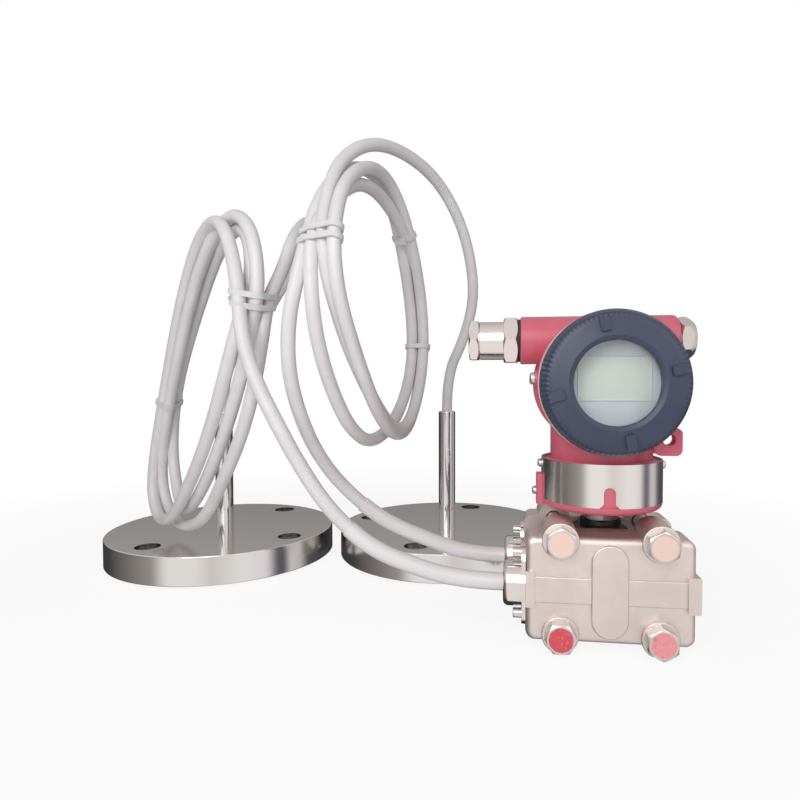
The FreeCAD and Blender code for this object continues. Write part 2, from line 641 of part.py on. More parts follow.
def housing_hollows():
    """Two compartments, conduit bores, wire passages, neck socket and screw holes."""
    axis = V(0, 0, BARREL_Z)
    tools = [rod(COMPARTMENT_RADIUS, WALL_FRONT, BARREL_FRONT + NECK_RING_LENGTH + 1, axis, -AXIS_Y),
             rod(COMPARTMENT_RADIUS, -WALL_BACK, BARREL_BACK + NECK_RING_LENGTH + 1, axis, AXIS_Y),
             rod(WIRE_PASSAGE_RADIUS, WALL_BACK - 1, WALL_FRONT + 1,
                 V(0, 0, BARREL_Z - COMPARTMENT_RADIUS + 2 * WIRE_PASSAGE_RADIUS), -AXIS_Y),
             rod(NECK_SPIGOT_RADIUS + RUNNING_FIT, BASE_BOTTOM - 1,
                 NECK_SHOULDER + NECK_SPIGOT_LENGTH + SEAT_GAP, V(0, 0, 0), AXIS_Z),
             rod(WIRE_PASSAGE_RADIUS, BASE_BOTTOM, BARREL_Z - COMPARTMENT_RADIUS / 2, V(0, 0, 0), AXIS_Z),
             lug_hole()]
    for side, reach in ((-1, GLAND_SIDE_REACH), (1, PLUG_SIDE_REACH)):
        tools.append(rod(CONDUIT_BORE_RADIUS, COMPARTMENT_RADIUS / 3, reach + 1,
                         V(0, 0, CONDUIT_Z), AXIS_X * side))
        tools.append(rod(BAND_SCREW_RADIUS + RUNNING_FIT, BAND_INNER - SCREW_LENGTH, BASE_RADIUS + 1,
                         V(0, 0, BAND_TOP - BAND_SCREW_DROP), AXIS_X * side))
    tools.append(rod(EARTH_SCREW_RADIUS + RUNNING_FIT, EARTH_BOSS_REACH - SCREW_LENGTH, EARTH_BOSS_REACH + 1,
                     V(0, EARTH_BOSS_Y, BARREL_Z + EARTH_SCREW_RISE), -AXIS_X))
    tools.append(rod(LOCK_SCREW_RADIUS + RUNNING_FIT, EAR_REACH - 2 * SCREW_LENGTH, EAR_REACH + 1,
                     V(0, 0, BASE_BOTTOM + LOCK_SCREW_RISE), -AXIS_X))
    return tools


def housing():
    """Head casting: barrel, two conduit entries, base cup, lock lug, ear and earth boss in one."""
    earth_boss = rod(EARTH_BOSS_RADIUS, BARREL_WAIST_RADIUS / 2, EARTH_BOSS_REACH,
                     V(0, EARTH_BOSS_Y, BARREL_Z + EARTH_SCREW_RISE), -AXIS_X)
    left = conduit(-1, GLAND_SIDE_REACH, 0.8)
    right = conduit(1, PLUG_SIDE_REACH, CONDUIT_ROUND)
    casting = joined([barrel(), base_cup(), left, right, lock_lug(), ear(), earth_boss])
    return casting.cut(housing_hollows())


def name_band():
    """Stainless band round the base, with the notch at the front and a cut-out for the ear."""
    band = ring(BAND_INNER + RUNNING_FIT, BASE_RADIUS, BAND_BOTTOM + RUNNING_FIT, BAND_TOP, V(0, 0, 0), AXIS_Z)
    half = BAND_NOTCH_WIDTH / 2
    low = BAND_BOTTOM - 1
    shoulder = BAND_BOTTOM + BAND_NOTCH_FLARE
    top = BAND_BOTTOM + BAND_NOTCH_HEIGHT
    wide = half + BAND_NOTCH_FLARE
    notch = slab([(-wide, low), (wide, low), (wide, BAND_BOTTOM), (half, shoulder, BAND_NOTCH_FLARE * 0.6),
                  (half, top, half * 0.98), (-half, top, half * 0.98), (-half, shoulder, BAND_NOTCH_FLARE * 0.6),
                  (-wide, BAND_BOTTOM)], BASE_RADIUS)
    notch = facing_front(notch)
    tools = [notch, ear(LOOSE_FIT)]
    for side in (-1, 1):
        tools.append(rod(BAND_SCREW_RADIUS + LOOSE_FIT / 2, BAND_INNER - 1, BASE_RADIUS + 1,
                         V(0, 0, BAND_TOP - BAND_SCREW_DROP), AXIS_X * side))
    return band.cut(tools)


def pan_screw(radius, head_radius, head_height, length, origin, axis):
    """Pan-head screw: the head stands along the axis from the origin, the shank runs the other way."""
    return turned([(0, -length), (radius, -length), (radius, 0), (head_radius, 0),
                   (head_radius, head_height, head_height * 0.6), (0, head_height)], origin, axis)


def band_screws():
    screws = []
    for side in (-1, 1):
        screws.append(pan_screw(BAND_SCREW_RADIUS, BAND_SCREW_HEAD_RADIUS, BAND_SCREW_HEAD_HEIGHT,
                                SCREW_LENGTH, V(side * BASE_RADIUS, 0, BAND_TOP - BAND_SCREW_DROP),
                                AXIS_X * side))
    return Part.Compound(screws)


def earth_screw():
    return pan_screw(EARTH_SCREW_RADIUS, EARTH_SCREW_HEAD_RADIUS, EARTH_SCREW_HEAD_HEIGHT, SCREW_LENGTH - 0.5,
                     V(-EARTH_BOSS_REACH, EARTH_BOSS_Y, BARREL_Z + EARTH_SCREW_RISE), -AXIS_X)


def head_lock_screw():
    return pan_screw(LOCK_SCREW_RADIUS, LOCK_SCREW_HEAD_RADIUS, LOCK_SCREW_HEAD_HEIGHT, 2 * SCREW_LENGTH - 0.5,
                     V(-EAR_REACH, 0, BASE_BOTTOM + LOCK_SCREW_RISE), -AXIS_X)


# ---------------------------------------------------------------- covers
def cover_origin(front):
    """Foot of a cover on the rim of the barrel, and the direction in which it stands out."""
    if front:
        return V(0, -BARREL_FRONT, BARREL_Z), -AXIS_Y
    return V(0, BARREL_BACK, BARREL_Z), AXIS_Y


def cover_body(profile, front):
    """Screw cover from its profile, with the wrench lugs on the face."""
    origin, axis = cover_origin(front)
    body = turned(profile, V(0, 0, 0), AXIS_Z)
    lug_top = COVER_DEPTH + COVER_LUG_PROUD
    reach = COVER_LUG_OUTER - COVER_LUG_INNER
    pieces = [body]
    for index in range(LUG_COUNT):
        lug = slab(rectangle(reach, COVER_LUG_WIDTH, 1.2, (COVER_LUG_INNER + reach / 2, 0)),
                   lug_top - COVER_SKIRT)
        lug.translate(V(0, 0, COVER_SKIRT))
        lug.rotate(V(0, 0, 0), AXIS_Z, 360.0 / LUG_COUNT * index + COVER_LUG_TURN)
        pieces.append(lug)
    return placed(joined(pieces), origin, axis)


def cover_outside():
    """Outer side of a cover from the foot of the skirt to the edge of the face."""
    return [(COVER_RADIUS, O_RING_THICKNESS), (COVER_RADIUS, COVER_SKIRT, COVER_EDGE),
            (COVER_SHOULDER, COVER_DEPTH - 2.6, COVER_EDGE), (COVER_FACE_RADIUS, COVER_DEPTH - 1.4, COVER_EDGE)]


def front_cover():
    """Front cover with the window opening, the seat of the glass and the threaded skirt."""
    skirt = NECK_RING_RADIUS + RUNNING_FIT
    seat = GLASS_RADIUS + GLASS_SEAT_CLEARANCE
    profile = [(skirt, O_RING_THICKNESS)] + cover_outside()
    profile += [(WINDOW_RADIUS + COVER_LIP_WIDTH, COVER_DEPTH, 0.6), (WINDOW_RADIUS, COVER_DEPTH - 1.2, 0.6),
                (WINDOW_RADIUS, GLASS_FRONT), (seat, GLASS_FRONT), (seat, GLASS_BACK), (skirt, GLASS_BACK)]
    return cover_body(profile, True)


def rear_cover():
    """Blind rear cover."""
    skirt = NECK_RING_RADIUS + RUNNING_FIT
    profile = [(skirt, O_RING_THICKNESS)] + cover_outside()
    profile += [(COVER_LUG_INNER - 6, COVER_DEPTH), (0, COVER_DEPTH), (0, GLASS_FRONT),
                (REAR_POCKET_RADIUS, GLASS_FRONT, 2.0), (REAR_POCKET_RADIUS, GLASS_BACK), (skirt, GLASS_BACK)]
    return cover_body(profile, False)


def cover_seal(front):
    """O-ring pressed between the rim and the cover, just proud of both."""
    origin, axis = cover_origin(front)
    outer = COVER_RADIUS + O_RING_PROUD
    return turned([(NECK_RING_RADIUS + RUNNING_FIT, 0), (outer, 0, 0.5), (outer, O_RING_THICKNESS - RUNNING_FIT, 0.5),
                   (NECK_RING_RADIUS + RUNNING_FIT, O_RING_THICKNESS - RUNNING_FIT)], origin, axis)


def window_glass():
    origin, axis = cover_origin(True)
    return turned([(0, GLASS_BACK), (GLASS_RADIUS, GLASS_BACK, 0.4), (GLASS_RADIUS, GLASS_FRONT, 0.4),
                   (0, GLASS_FRONT)], origin, axis)


def window_retainer():
    origin, axis = cover_origin(True)
    return ring(RETAINER_BORE, RETAINER_RADIUS, GLASS_BACK - RETAINER_THICKNESS, GLASS_BACK, origin, axis)


# ---------------------------------------------------------------- display, board and terminals
def post_places():
    places = []
    for index in range(POST_COUNT):
        angle = math.radians(90 + 360.0 / POST_COUNT * index)
        places.append((POST_CIRCLE * math.cos(angle), BARREL_Z + POST_CIRCLE * math.sin(angle)))
    return places


def display_module():
    """Display carrier: moulded disc with a pocket for the panel and three legs on the board."""
    disc = turned([(0, MODULE_FACE - MODULE_THICKNESS), (MODULE_RADIUS, MODULE_FACE - MODULE_THICKNESS),
                   (MODULE_RADIUS, MODULE_FACE, 1.0), (0, MODULE_FACE)], V(0, 0, BARREL_Z), -AXIS_Y)
    legs = [rod(POST_RADIUS, BOARD_FACE, MODULE_FACE - MODULE_THICKNESS + 1, V(x, 0, z), -AXIS_Y)
            for x, z in post_places()]
    pocket = facing_front(slab(rectangle(LCD_WIDTH + LOOSE_FIT, LCD_HEIGHT + LOOSE_FIT), LCD_THICKNESS))
    pocket.translate(V(0, LCD_THICKNESS - LCD_PROUD - MODULE_FACE, BARREL_Z + LCD_RISE))
    return joined([disc] + legs).cut(pocket)


def display_panel():
    panel = facing_front(slab(rectangle(LCD_WIDTH, LCD_HEIGHT, 0.4), LCD_THICKNESS))
    panel.translate(V(0, LCD_THICKNESS - LCD_PROUD - MODULE_FACE, BARREL_Z + LCD_RISE))
    return panel


def electronics_board():
    """Round circuit board with its transformer, connector and a few large components."""
    back = WALL_FRONT + POST_LENGTH
    board = rod(BOARD_RADIUS, back, back + BOARD_THICKNESS, V(0, 0, BARREL_Z), -AXIS_Y)
    pieces = [board]
    for width, height, depth, x, z in ((14, 10, 4, -8, 6), (8, 12, 3, 10, 8), (18, 5, 3, 0, -12)):
        block = facing_front(slab(rectangle(width, height, 0, (x, BARREL_Z + z)), depth + 0.5))
        block.translate(V(0, 0.5 - back - BOARD_THICKNESS, 0))
        pieces.append(block)
    return joined(pieces)


def board_posts():
    return Part.Compound([rod(POST_RADIUS, WALL_FRONT, WALL_FRONT + POST_LENGTH, V(x, 0, z), -AXIS_Y)
                          for x, z in post_places()])


def terminal_places():
    pitch = TERMINAL_WIDTH / TERMINAL_COUNT
    return [pitch * (index - (TERMINAL_COUNT - 1) / 2) for index in range(TERMINAL_COUNT)]


def terminal_block():
    """Moulded terminal block on the dividing wall, one open cell for each terminal."""
    back = -WALL_BACK
    block = Part.makeBox(TERMINAL_WIDTH, TERMINAL_DEPTH, TERMINAL_HEIGHT,
                         V(-TERMINAL_WIDTH / 2, back, BARREL_Z - TERMINAL_HEIGHT / 2))
    cell = TERMINAL_WIDTH / TERMINAL_COUNT - TERMINAL_WALL
    tools = [Part.makeBox(cell, TERMINAL_SLOT_DEPTH + 1, TERMINAL_HEIGHT,
                          V(x - cell / 2, back + TERMINAL_DEPTH - TERMINAL_SLOT_DEPTH,
                            BARREL_Z - TERMINAL_HEIGHT / 2 + TERMINAL_WALL)) for x in terminal_places()]
    return block.cut(tools)


def terminal_screws():
    floor = -WALL_BACK + TERMINAL_DEPTH - TERMINAL_SLOT_DEPTH
    return Part.Compound([turned([(0, 0), (TERMINAL_SCREW_RADIUS, 0),
                                  (TERMINAL_SCREW_RADIUS, TERMINAL_SCREW_HEIGHT, 0.6),
                                  (0, TERMINAL_SCREW_HEIGHT)], V(x, floor, BARREL_Z + TERMINAL_WALL / 2), AXIS_Y)
                          for x in terminal_places()])


# ---------------------------------------------------------------- cable gland and plug
def conduit_axis():
    return V(0, 0, CONDUIT_Z)


def gland_washer():
    return ring(CONDUIT_BORE_RADIUS - RUNNING_FIT, WASHER_RADIUS, GLAND_SIDE_REACH, GLAND_START,
                conduit_axis(), -AXIS_X)


def gland_body():
    """Gland body: thread in the conduit, hexagon, round barrel and the collar under the nut."""
    hexagon_part = placed(hexagon(GLAND_HEX, GLAND_HEX_LENGTH, ("low", "high"), 30.0),
                          conduit_axis() - AXIS_X * GLAND_START, -AXIS_X)
    thread = CONDUIT_BORE_RADIUS - 2 * RUNNING_FIT
    start = GLAND_SIDE_REACH - GLAND_THREAD_LENGTH
    collar_end = GLAND_BARREL_END + GLAND_COLLAR_LENGTH
    stem = turned([(0, start), (thread, start, 0.6), (thread, GLAND_START + 1), (GLAND_BARREL_RADIUS, GLAND_START + 1),
                   (GLAND_BARREL_RADIUS, GLAND_BARREL_END, 0.4), (GLAND_COLLAR_RADIUS, GLAND_BARREL_END),
                   (GLAND_COLLAR_RADIUS, collar_end), (0, collar_end)], conduit_axis(), -AXIS_X)
    seat = collar_end - GROMMET_LENGTH
    bore = [rod(CABLE_HOLE_RADIUS + LOOSE_FIT, start - 1, collar_end + 1, conduit_axis(), -AXIS_X),
            rod(GLAND_BORE_RADIUS + RUNNING_FIT, seat, collar_end + 1, conduit_axis(), -AXIS_X)]
    return joined([hexagon_part, stem]).cut(bore)


def gland_grommet():
    end = GLAND_BARREL_END + GLAND_COLLAR_LENGTH
    return ring(CABLE_HOLE_RADIUS, GLAND_BORE_RADIUS, end - GROMMET_LENGTH, end, conduit_axis(), -AXIS_X)


def gland_nut():
    """Outer nut of the gland, turning on the collar."""
    bar = placed(hexagon(GLAND_NUT_HEX, GLAND_NUT_LENGTH, ("low", "high"), 30.0),
                 conduit_axis() - AXIS_X * GLAND_NUT_START, -AXIS_X)
    collar_end = GLAND_BARREL_END + GLAND_COLLAR_LENGTH + SEAT_GAP
    return bar.cut([rod(GLAND_COLLAR_RADIUS + RUNNING_FIT, GLAND_NUT_START - 1, collar_end,
                        conduit_axis(), -AXIS_X),
                    rod(CABLE_HOLE_RADIUS + LOOSE_FIT, GLAND_NUT_START, GLAND_NUT_START + GLAND_NUT_LENGTH + 1,
                        conduit_axis(), -AXIS_X)])


def conduit_plug():
    """Blanking plug of the unused entry: domed hexagon head on a thread."""
    start = PLUG_SIDE_REACH + SEAT_GAP
    head = placed(hexagon(PLUG_HEX, PLUG_HEAD_LENGTH, ("low", "high"), 0.0), conduit_axis() + AXIS_X * start, AXIS_X)
    dome = turned([(0, -1), (PLUG_HEX, -1), (PLUG_HEX * 0.58, PLUG_HEAD_LENGTH * 0.5, 6.0),
                   (PLUG_HEX * 0.42, PLUG_HEAD_LENGTH, 2.0), (0, PLUG_HEAD_LENGTH)],
                  conduit_axis() + AXIS_X * start, AXIS_X)
    thread = rod(CONDUIT_BORE_RADIUS - RUNNING_FIT, PLUG_SIDE_REACH - PLUG_THREAD_LENGTH, start + 1,
                 conduit_axis(), AXIS_X)
    return joined([head.common(dome), thread])


# ---------------------------------------------------------------- remote seals
def seal_flange(place, turn):
    """Seal flange lying face down: plate, raised face below, four bolt holes, diaphragm recess."""
    profile = [(0, 0), (SEAL_FACE_RADIUS, 0, 0.3), (SEAL_FACE_RADIUS, SEAL_FACE_HEIGHT),
               (SEAL_RADIUS, SEAL_FACE_HEIGHT, SEAL_EDGE), (SEAL_RADIUS, SEAL_THICKNESS, SEAL_EDGE),
               (0, SEAL_THICKNESS)]
    centre = V(place[0], place[1], 0)
    plate = turned(profile, centre, AXIS_Z)
    tools = [rod(SEAL_DIAPHRAGM_RADIUS, -1, SEAL_DIAPHRAGM_RECESS, centre, AXIS_Z)]
    for index in range(SEAL_BOLT_COUNT):
        angle = math.radians(turn + 360.0 / SEAL_BOLT_COUNT * index)
        offset = V(math.cos(angle), math.sin(angle), 0) * (SEAL_RADIUS - SEAL_BOLT_INSET)
        tools.append(rod(SEAL_BOLT_RADIUS, -1, SEAL_THICKNESS + 1, centre + offset, AXIS_Z))
    return plate.cut(tools)


def seal_diaphragm(place):
    """Thin foil welded into the recess of the raised face."""
    return rod(SEAL_DIAPHRAGM_RADIUS - RUNNING_FIT, SEAL_DIAPHRAGM_RECESS - SEAL_DIAPHRAGM_THICKNESS,
               SEAL_DIAPHRAGM_RECESS, V(place[0], place[1], 0), AXIS_Z)


def seal_stem(place):
    """Polished stem that guides the capillary down into the flange."""
    return turned([(0, SEAL_THICKNESS), (STEM_RADIUS, SEAL_THICKNESS), (STEM_RADIUS, STEM_TOP, STEM_CHAMFER),
                   (0, STEM_TOP)], V(place[0], place[1], 0), AXIS_Z)


# ---------------------------------------------------------------- capillaries
def route_edges(points):
    """Straight runs and tangent arcs of a cord's route; each arc is as large as its runs allow."""
    runs = [(points[index + 1] - points[index]).Length for index in range(len(points) - 1)]
    radii = [0]
    for index in range(1, len(points) - 1):
        turn = (points[index] - points[index - 1]).getAngle(points[index + 1] - points[index])
        radii.append(0.45 * min(runs[index - 1], runs[index]) / math.tan(turn / 2))
    radii.append(0)
    return rounded_edges(points, radii, False), radii[1:-1]


def tube(edges, radius):
    """Round tube swept along a row of tangent edges."""
    start = edges[0].valueAt(edges[0].FirstParameter)
    heading = edges[0].tangentAt(edges[0].FirstParameter)
    section = Part.Wire(Part.Circle(start, heading, radius).toShape())
    return Part.Wire(edges).makePipeShell([section], True, False)


def capillary_lead(name, mouth, points):
    """Way in to a coil: the shrink sleeve at the adapter and the bare jacket beyond it."""
    route = [mouth] + [V(*point) for point in points]
    edges, radii = route_edges(route)
    report_route(name, edges, radii)
    split = 2 * (SLEEVE_END_RUN - 1)
    run = edges[split]
    first = run.valueAt(run.FirstParameter)
    last = run.valueAt(run.LastParameter)
    middle = (first + last) / 2
    sleeve = tube(edges[:split] + [Part.LineSegment(first, middle).toShape()], SLEEVE_RADIUS)
    lead = tube([Part.LineSegment(middle, last).toShape()] + edges[split + 1:], CAPILLARY_RADIUS)
    return sleeve, lead


def capillary_tail(name, points, seal):
    """Way out of a coil, over and down into the top of the stem."""
    route = [V(*point) for point in points] + [V(seal[0], seal[1], STEM_TOP)]
    edges, radii = route_edges(route)
    report_route(name, edges, radii)
    return tube(edges, CAPILLARY_RADIUS)


def report_route(name, edges, radii):
    length = sum(edge.Length for edge in edges)
    shown = ", ".join("%.0f" % radius for radius in radii)
    print("%s: route %.0f mm, bend radii %s mm" % (name, length, shown))


def oval(half_length, half_width, end_radius):
    """Four-centre oval with its long axis along Y: pairs of (centre, radius, start, sweep)."""
    side_radius = ((half_length - end_radius) ** 2 + half_width ** 2 - end_radius ** 2) \
        / (2 * (half_width - end_radius))
    rise = half_length - end_radius
    inset = side_radius - half_width
    lean = math.degrees(math.atan2(rise, inset))
    return [(V(-inset, 0, 0), side_radius, -lean, 2 * lean),
            (V(0, rise, 0), end_radius, lean, 180 - 2 * lean),
            (V(inset, 0, 0), side_radius, 180 - lean, 2 * lean),
            (V(0, -rise, 0), end_radius, 180 + lean, 180 - 2 * lean)]


def coil_placement(coil):
    """Placement of a coil: X along the way its plane heads, Y up the leaning plane."""
    place = FreeCAD.Rotation(AXIS_Z, coil["heading"])
    place = place.multiply(FreeCAD.Rotation(AXIS_X, 90 - coil["lean"]))
    place = place.multiply(FreeCAD.Rotation(AXIS_Z, coil["tilt"]))
    return FreeCAD.Placement(V(*coil["middle"]), place)


def bundle_section(margin):
    """Section of the tied turns, which lie side by side: wider than thick, with round sides."""
    return obround(COIL_THICKNESS + 2 * margin, COIL_WIDTH + 2 * margin)


def coil_solid(coil):
    """Outer shape of the tied turns: the bundle's section carried round the oval."""
    sectors = []
    for centre, radius, start, sweep in oval(coil["half_length"], coil["half_width"], coil["end_radius"]):
        section = bundle_section(0.0)
        section.rotate(V(0, 0, 0), AXIS_X, 90)
        section.translate(V(radius, 0, 0))
        sector = section.revolve(V(0, 0, 0), AXIS_Z, sweep)
        sector.rotate(V(0, 0, 0), AXIS_Z, start)
        sector.translate(centre)
        sectors.append(sector)
    solid = joined(sectors)
    solid.Placement = coil_placement(coil).multiply(solid.Placement)
    return solid


def oval_point(coil, angle):
    """Point of the oval seen from its middle at an angle from +X, with the way it heads there."""
    direction = V(math.cos(math.radians(angle)), math.sin(math.radians(angle)), 0)
    for centre, radius, start, sweep in oval(coil["half_length"], coil["half_width"], coil["end_radius"]):
        along = direction.dot(centre)
        square = along ** 2 - centre.dot(centre) + radius ** 2
        if square < 0:
            continue
        point = direction * (along + math.sqrt(square))
        spoke = point - centre
        swept = (math.degrees(math.atan2(spoke.y, spoke.x)) - start) % 360
        if swept <= sweep:
            return point, spoke.normalize()
    raise ValueError("no arc of the oval lies at this angle")


def cable_ties(coil, angle, count):
    """Narrow plastic ties round the bundle, side by side."""
    ties = []
    for index in range(count):
        point, outward = oval_point(coil, angle)
        along = V(-outward.y, outward.x, 0)
        shift = along * (TIE_PITCH * (index - (count - 1) / 2))
        outer = bundle_section(TIE_THICKNESS + RUNNING_FIT).extrude(V(0, 0, TIE_WIDTH))
        inner = bundle_section(RUNNING_FIT).extrude(V(0, 0, TIE_WIDTH))
        strap = outer.cut(inner)
        strap.translate(V(0, 0, -TIE_WIDTH / 2))
        strap.rotate(V(0, 0, 0), AXIS_X, 90)
        strap.rotate(V(0, 0, 0), AXIS_Z, math.degrees(math.atan2(outward.y, outward.x)))
        strap.translate(point + shift)
        ties.append(strap)
    tie = Part.Compound(ties)
    tie.Placement = coil_placement(coil).multiply(tie.Placement)
    return tie


# ---------------------------------------------------------------- the whole part
def capillary_nodes():
    front_mouth = V(-ADAPTER_MOUTH, -PORT_Y, PORT_Z)
    rear_mouth = V(-ADAPTER_MOUTH, PORT_Y, PORT_Z)
    front_sleeve, front_lead = capillary_lead("front capillary in", front_mouth, FRONT_WAY_IN)
    rear_sleeve, rear_lead = capillary_lead("rear capillary in", rear_mouth, REAR_WAY_IN)
    return {"front_capillary_sleeve": front_sleeve,
            "front_capillary_lead": front_lead,
            "front_capillary_coil": coil_solid(LEFT_COIL),
            "front_capillary_tail": capillary_tail("front capillary out", FRONT_WAY_OUT, LEFT_SEAL),
            "rear_capillary_sleeve": rear_sleeve,
            "rear_capillary_lead": rear_lead,
            "rear_capillary_coil": coil_solid(RIGHT_COIL),
            "rear_capillary_tail": capillary_tail("rear capillary out", REAR_WAY_OUT, RIGHT_SEAL),
            "left_coil_main_ties": cable_ties(LEFT_COIL, LEFT_TIE_ANGLES[0], 2),
            "left_coil_clear_tie": cable_ties(LEFT_COIL, LEFT_TIE_ANGLES[1], 1),
            "right_coil_main_ties": cable_ties(RIGHT_COIL, RIGHT_TIE_ANGLES[0], 2),
            "right_coil_upper_tie": cable_ties(RIGHT_COIL, RIGHT_TIE_ANGLES[1], 1),
            "right_coil_clear_tie": cable_ties(RIGHT_COIL, RIGHT_TIE_ANGLES[2], 1)}


def transmitter_nodes():
    flange = process_flange()
    adapter = capillary_adapter()
    return {"front_process_flange": flange,
            "rear_process_flange": mirrored_to_back(flange),
            "sensor_capsule": sensor_capsule(),
            "isolating_diaphragms": isolating_diaphragms(),
            "capsule_gaskets": capsule_gaskets(),
            "flange_bolts": flange_bolts(),
            "flange_nuts": flange_nuts(),
            "front_capillary_adapter": adapter,
            "rear_capillary_adapter": mirrored_to_back(adapter),
            "adapter_screws": adapter_screws(),
            "neck_adapter": neck_adapter()}


def head_nodes():
    return {"housing": housing(),
            "name_band": name_band(),
            "band_screws": band_screws(),
            "earth_screw": earth_screw(),
            "head_lock_screw": head_lock_screw(),
            "front_cover": front_cover(),
            "front_cover_seal": cover_seal(True),
            "window_glass": window_glass(),
            "window_retainer": window_retainer(),
            "rear_cover": rear_cover(),
            "rear_cover_seal": cover_seal(False),
            "display_module": display_module(),
            "display_panel": display_panel(),
            "electronics_board": electronics_board(),
            "board_posts": board_posts(),
            "terminal_block": terminal_block(),
            "terminal_screws": terminal_screws(),
            "gland_washer": gland_washer(),
            "gland_body": gland_body(),
            "gland_grommet": gland_grommet(),
            "gland_nut": gland_nut(),
            "conduit_plug": conduit_plug()}


def seal_nodes():
    nodes = {}
    for name, place, turn in (("left", LEFT_SEAL, LEFT_SEAL_TURN), ("right", RIGHT_SEAL, RIGHT_SEAL_TURN)):
        nodes[name + "_seal_flange"] = seal_flange(place, turn)
        nodes[name + "_seal_diaphragm"] = seal_diaphragm(place)
        nodes[name + "_seal_stem"] = seal_stem(place)
    return nodes


def main():
    os.makedirs("parts", exist_ok=True)
    nodes = {}
    nodes.update(transmitter_nodes())
    nodes.update(head_nodes())
    nodes.update(seal_nodes())
    nodes.update(capillary_nodes())
    for name, shape in nodes.items():
        moved = shape.copy()
        moved.translate(ORIGIN * -1)
        moved.exportStep("parts/" + name + ".step")
    print("%d nodes" % len(nodes))


main()
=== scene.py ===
# %% [markdown]
# # Differential pressure transmitter with remote seals
#
# This notebook dresses a finished CAD model. The model already has every solid piece in its place, so
# the work here is the finish of each piece, the two flexible capillaries, a few small details, and a
# plain studio. The first cell loads the model and asks it for its overall box.

# %% Load the model
import bmesh
import bpy
import math
from mathutils import Matrix, Vector


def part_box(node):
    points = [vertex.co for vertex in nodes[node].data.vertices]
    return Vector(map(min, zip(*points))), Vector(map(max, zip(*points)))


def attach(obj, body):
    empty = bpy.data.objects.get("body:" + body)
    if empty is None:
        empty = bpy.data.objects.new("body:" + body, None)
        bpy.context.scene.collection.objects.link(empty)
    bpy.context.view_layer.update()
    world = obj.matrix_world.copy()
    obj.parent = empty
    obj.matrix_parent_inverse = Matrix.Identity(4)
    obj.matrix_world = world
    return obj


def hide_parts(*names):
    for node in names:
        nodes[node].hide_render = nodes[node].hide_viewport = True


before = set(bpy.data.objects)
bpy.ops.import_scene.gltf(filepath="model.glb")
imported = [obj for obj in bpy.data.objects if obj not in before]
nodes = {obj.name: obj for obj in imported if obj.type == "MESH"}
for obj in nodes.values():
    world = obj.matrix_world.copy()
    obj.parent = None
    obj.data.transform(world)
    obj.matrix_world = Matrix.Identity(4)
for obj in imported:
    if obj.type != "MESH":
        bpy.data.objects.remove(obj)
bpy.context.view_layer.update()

# %% [markdown]
# The maker sets everything out from the neck, the upright axis through the measuring body and the
# head. Its place is read from the neck piece, so the sizes below can be written in millimetres from
# that axis, and one helper turns them into metres in the scene.

# %% Measure from the neck axis
neck_low, neck_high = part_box("neck_adapter")
NECK_X = (neck_low[0] + neck_high[0]) / 2
NECK_Y = (neck_low[1] + neck_high[1]) / 2


def from_neck(x, y, z):
    """A point given in millimetres from the foot of the neck axis, as a place in the scene."""
    return Vector((NECK_X + x / 1000, NECK_Y + y / 1000, z / 1000))


print("neck axis at", round(NECK_X, 4), round(NECK_Y, 4))

# %% [markdown]
# ## Camera
#
# The camera stands in front of the part, a little above the flanges, and looks almost level. A short
# lens close by gives the strong perspective in which the near measuring body looks large beside the
# seal flanges. Depth of field stays off and only a small sideways shift frames the part.

# %% Camera
camera_data = bpy.data.cameras.new("studio_camera")
camera_data.sensor_width = 36.0
camera_data.lens = 26.1
camera_data.shift_x = -0.05
camera_data.clip_start = 0.01
camera = bpy.data.objects.new("studio_camera", camera_data)
bpy.context.scene.collection.objects.link(camera)
camera.location = from_neck(-54.4, -371.7, 152.3)
camera.rotation_euler = (math.radians(90 - 1.67), 0, math.radians(7.2))
bpy.context.scene.camera = camera
print("camera at", [round(v, 3) for v in camera.location])

# %% [markdown]
# ## Capillaries
#
# A capillary is a thin filled steel tube inside flexible armour and a grey jacket. It holds its shape,
# so it leaves the measuring body in one sweep, makes three turns that are tied together, and arches
# over into the stem of its seal. A NURBS curve with a round bevel is the natural tool, because it bends
# smoothly between its control points. The turns are marked out flat, in the plane of the coil, with a
# third number for how far each point lies to one side of that plane. Their marks are a list that
# another program worked out, corrected afterwards. A loop with a few named sizes would be shorter and
# easier to change. Where strands cross they also run into each other, by up to about three quarters of
# their thickness, where real ones lie side by side.

# %% Coil planes
LEFT_COIL = {"middle": (-287.0, 40.5, 148.5), "heading": 139.5, "lean": -1.0, "tilt": 34.0}
RIGHT_COIL = {"middle": (-152.0, 38.0, 206.0), "heading": 75.0, "lean": 2.0, "tilt": 8.0}


def coil_plane(coil):
    """Matrix from the plane of a coil to the scene: X the way it heads, Y up it, Z off to its side."""
    turn = Matrix.Rotation(math.radians(coil["heading"]), 4, "Z")
    raise_up = Matrix.Rotation(math.radians(90 - coil["lean"]), 4, "X")
    tilt = Matrix.Rotation(math.radians(coil["tilt"]), 4, "Z")
    place = Matrix.Translation(from_neck(*coil["middle"]))
    return place @ turn @ raise_up @ tilt @ Matrix.Scale(0.001, 4)


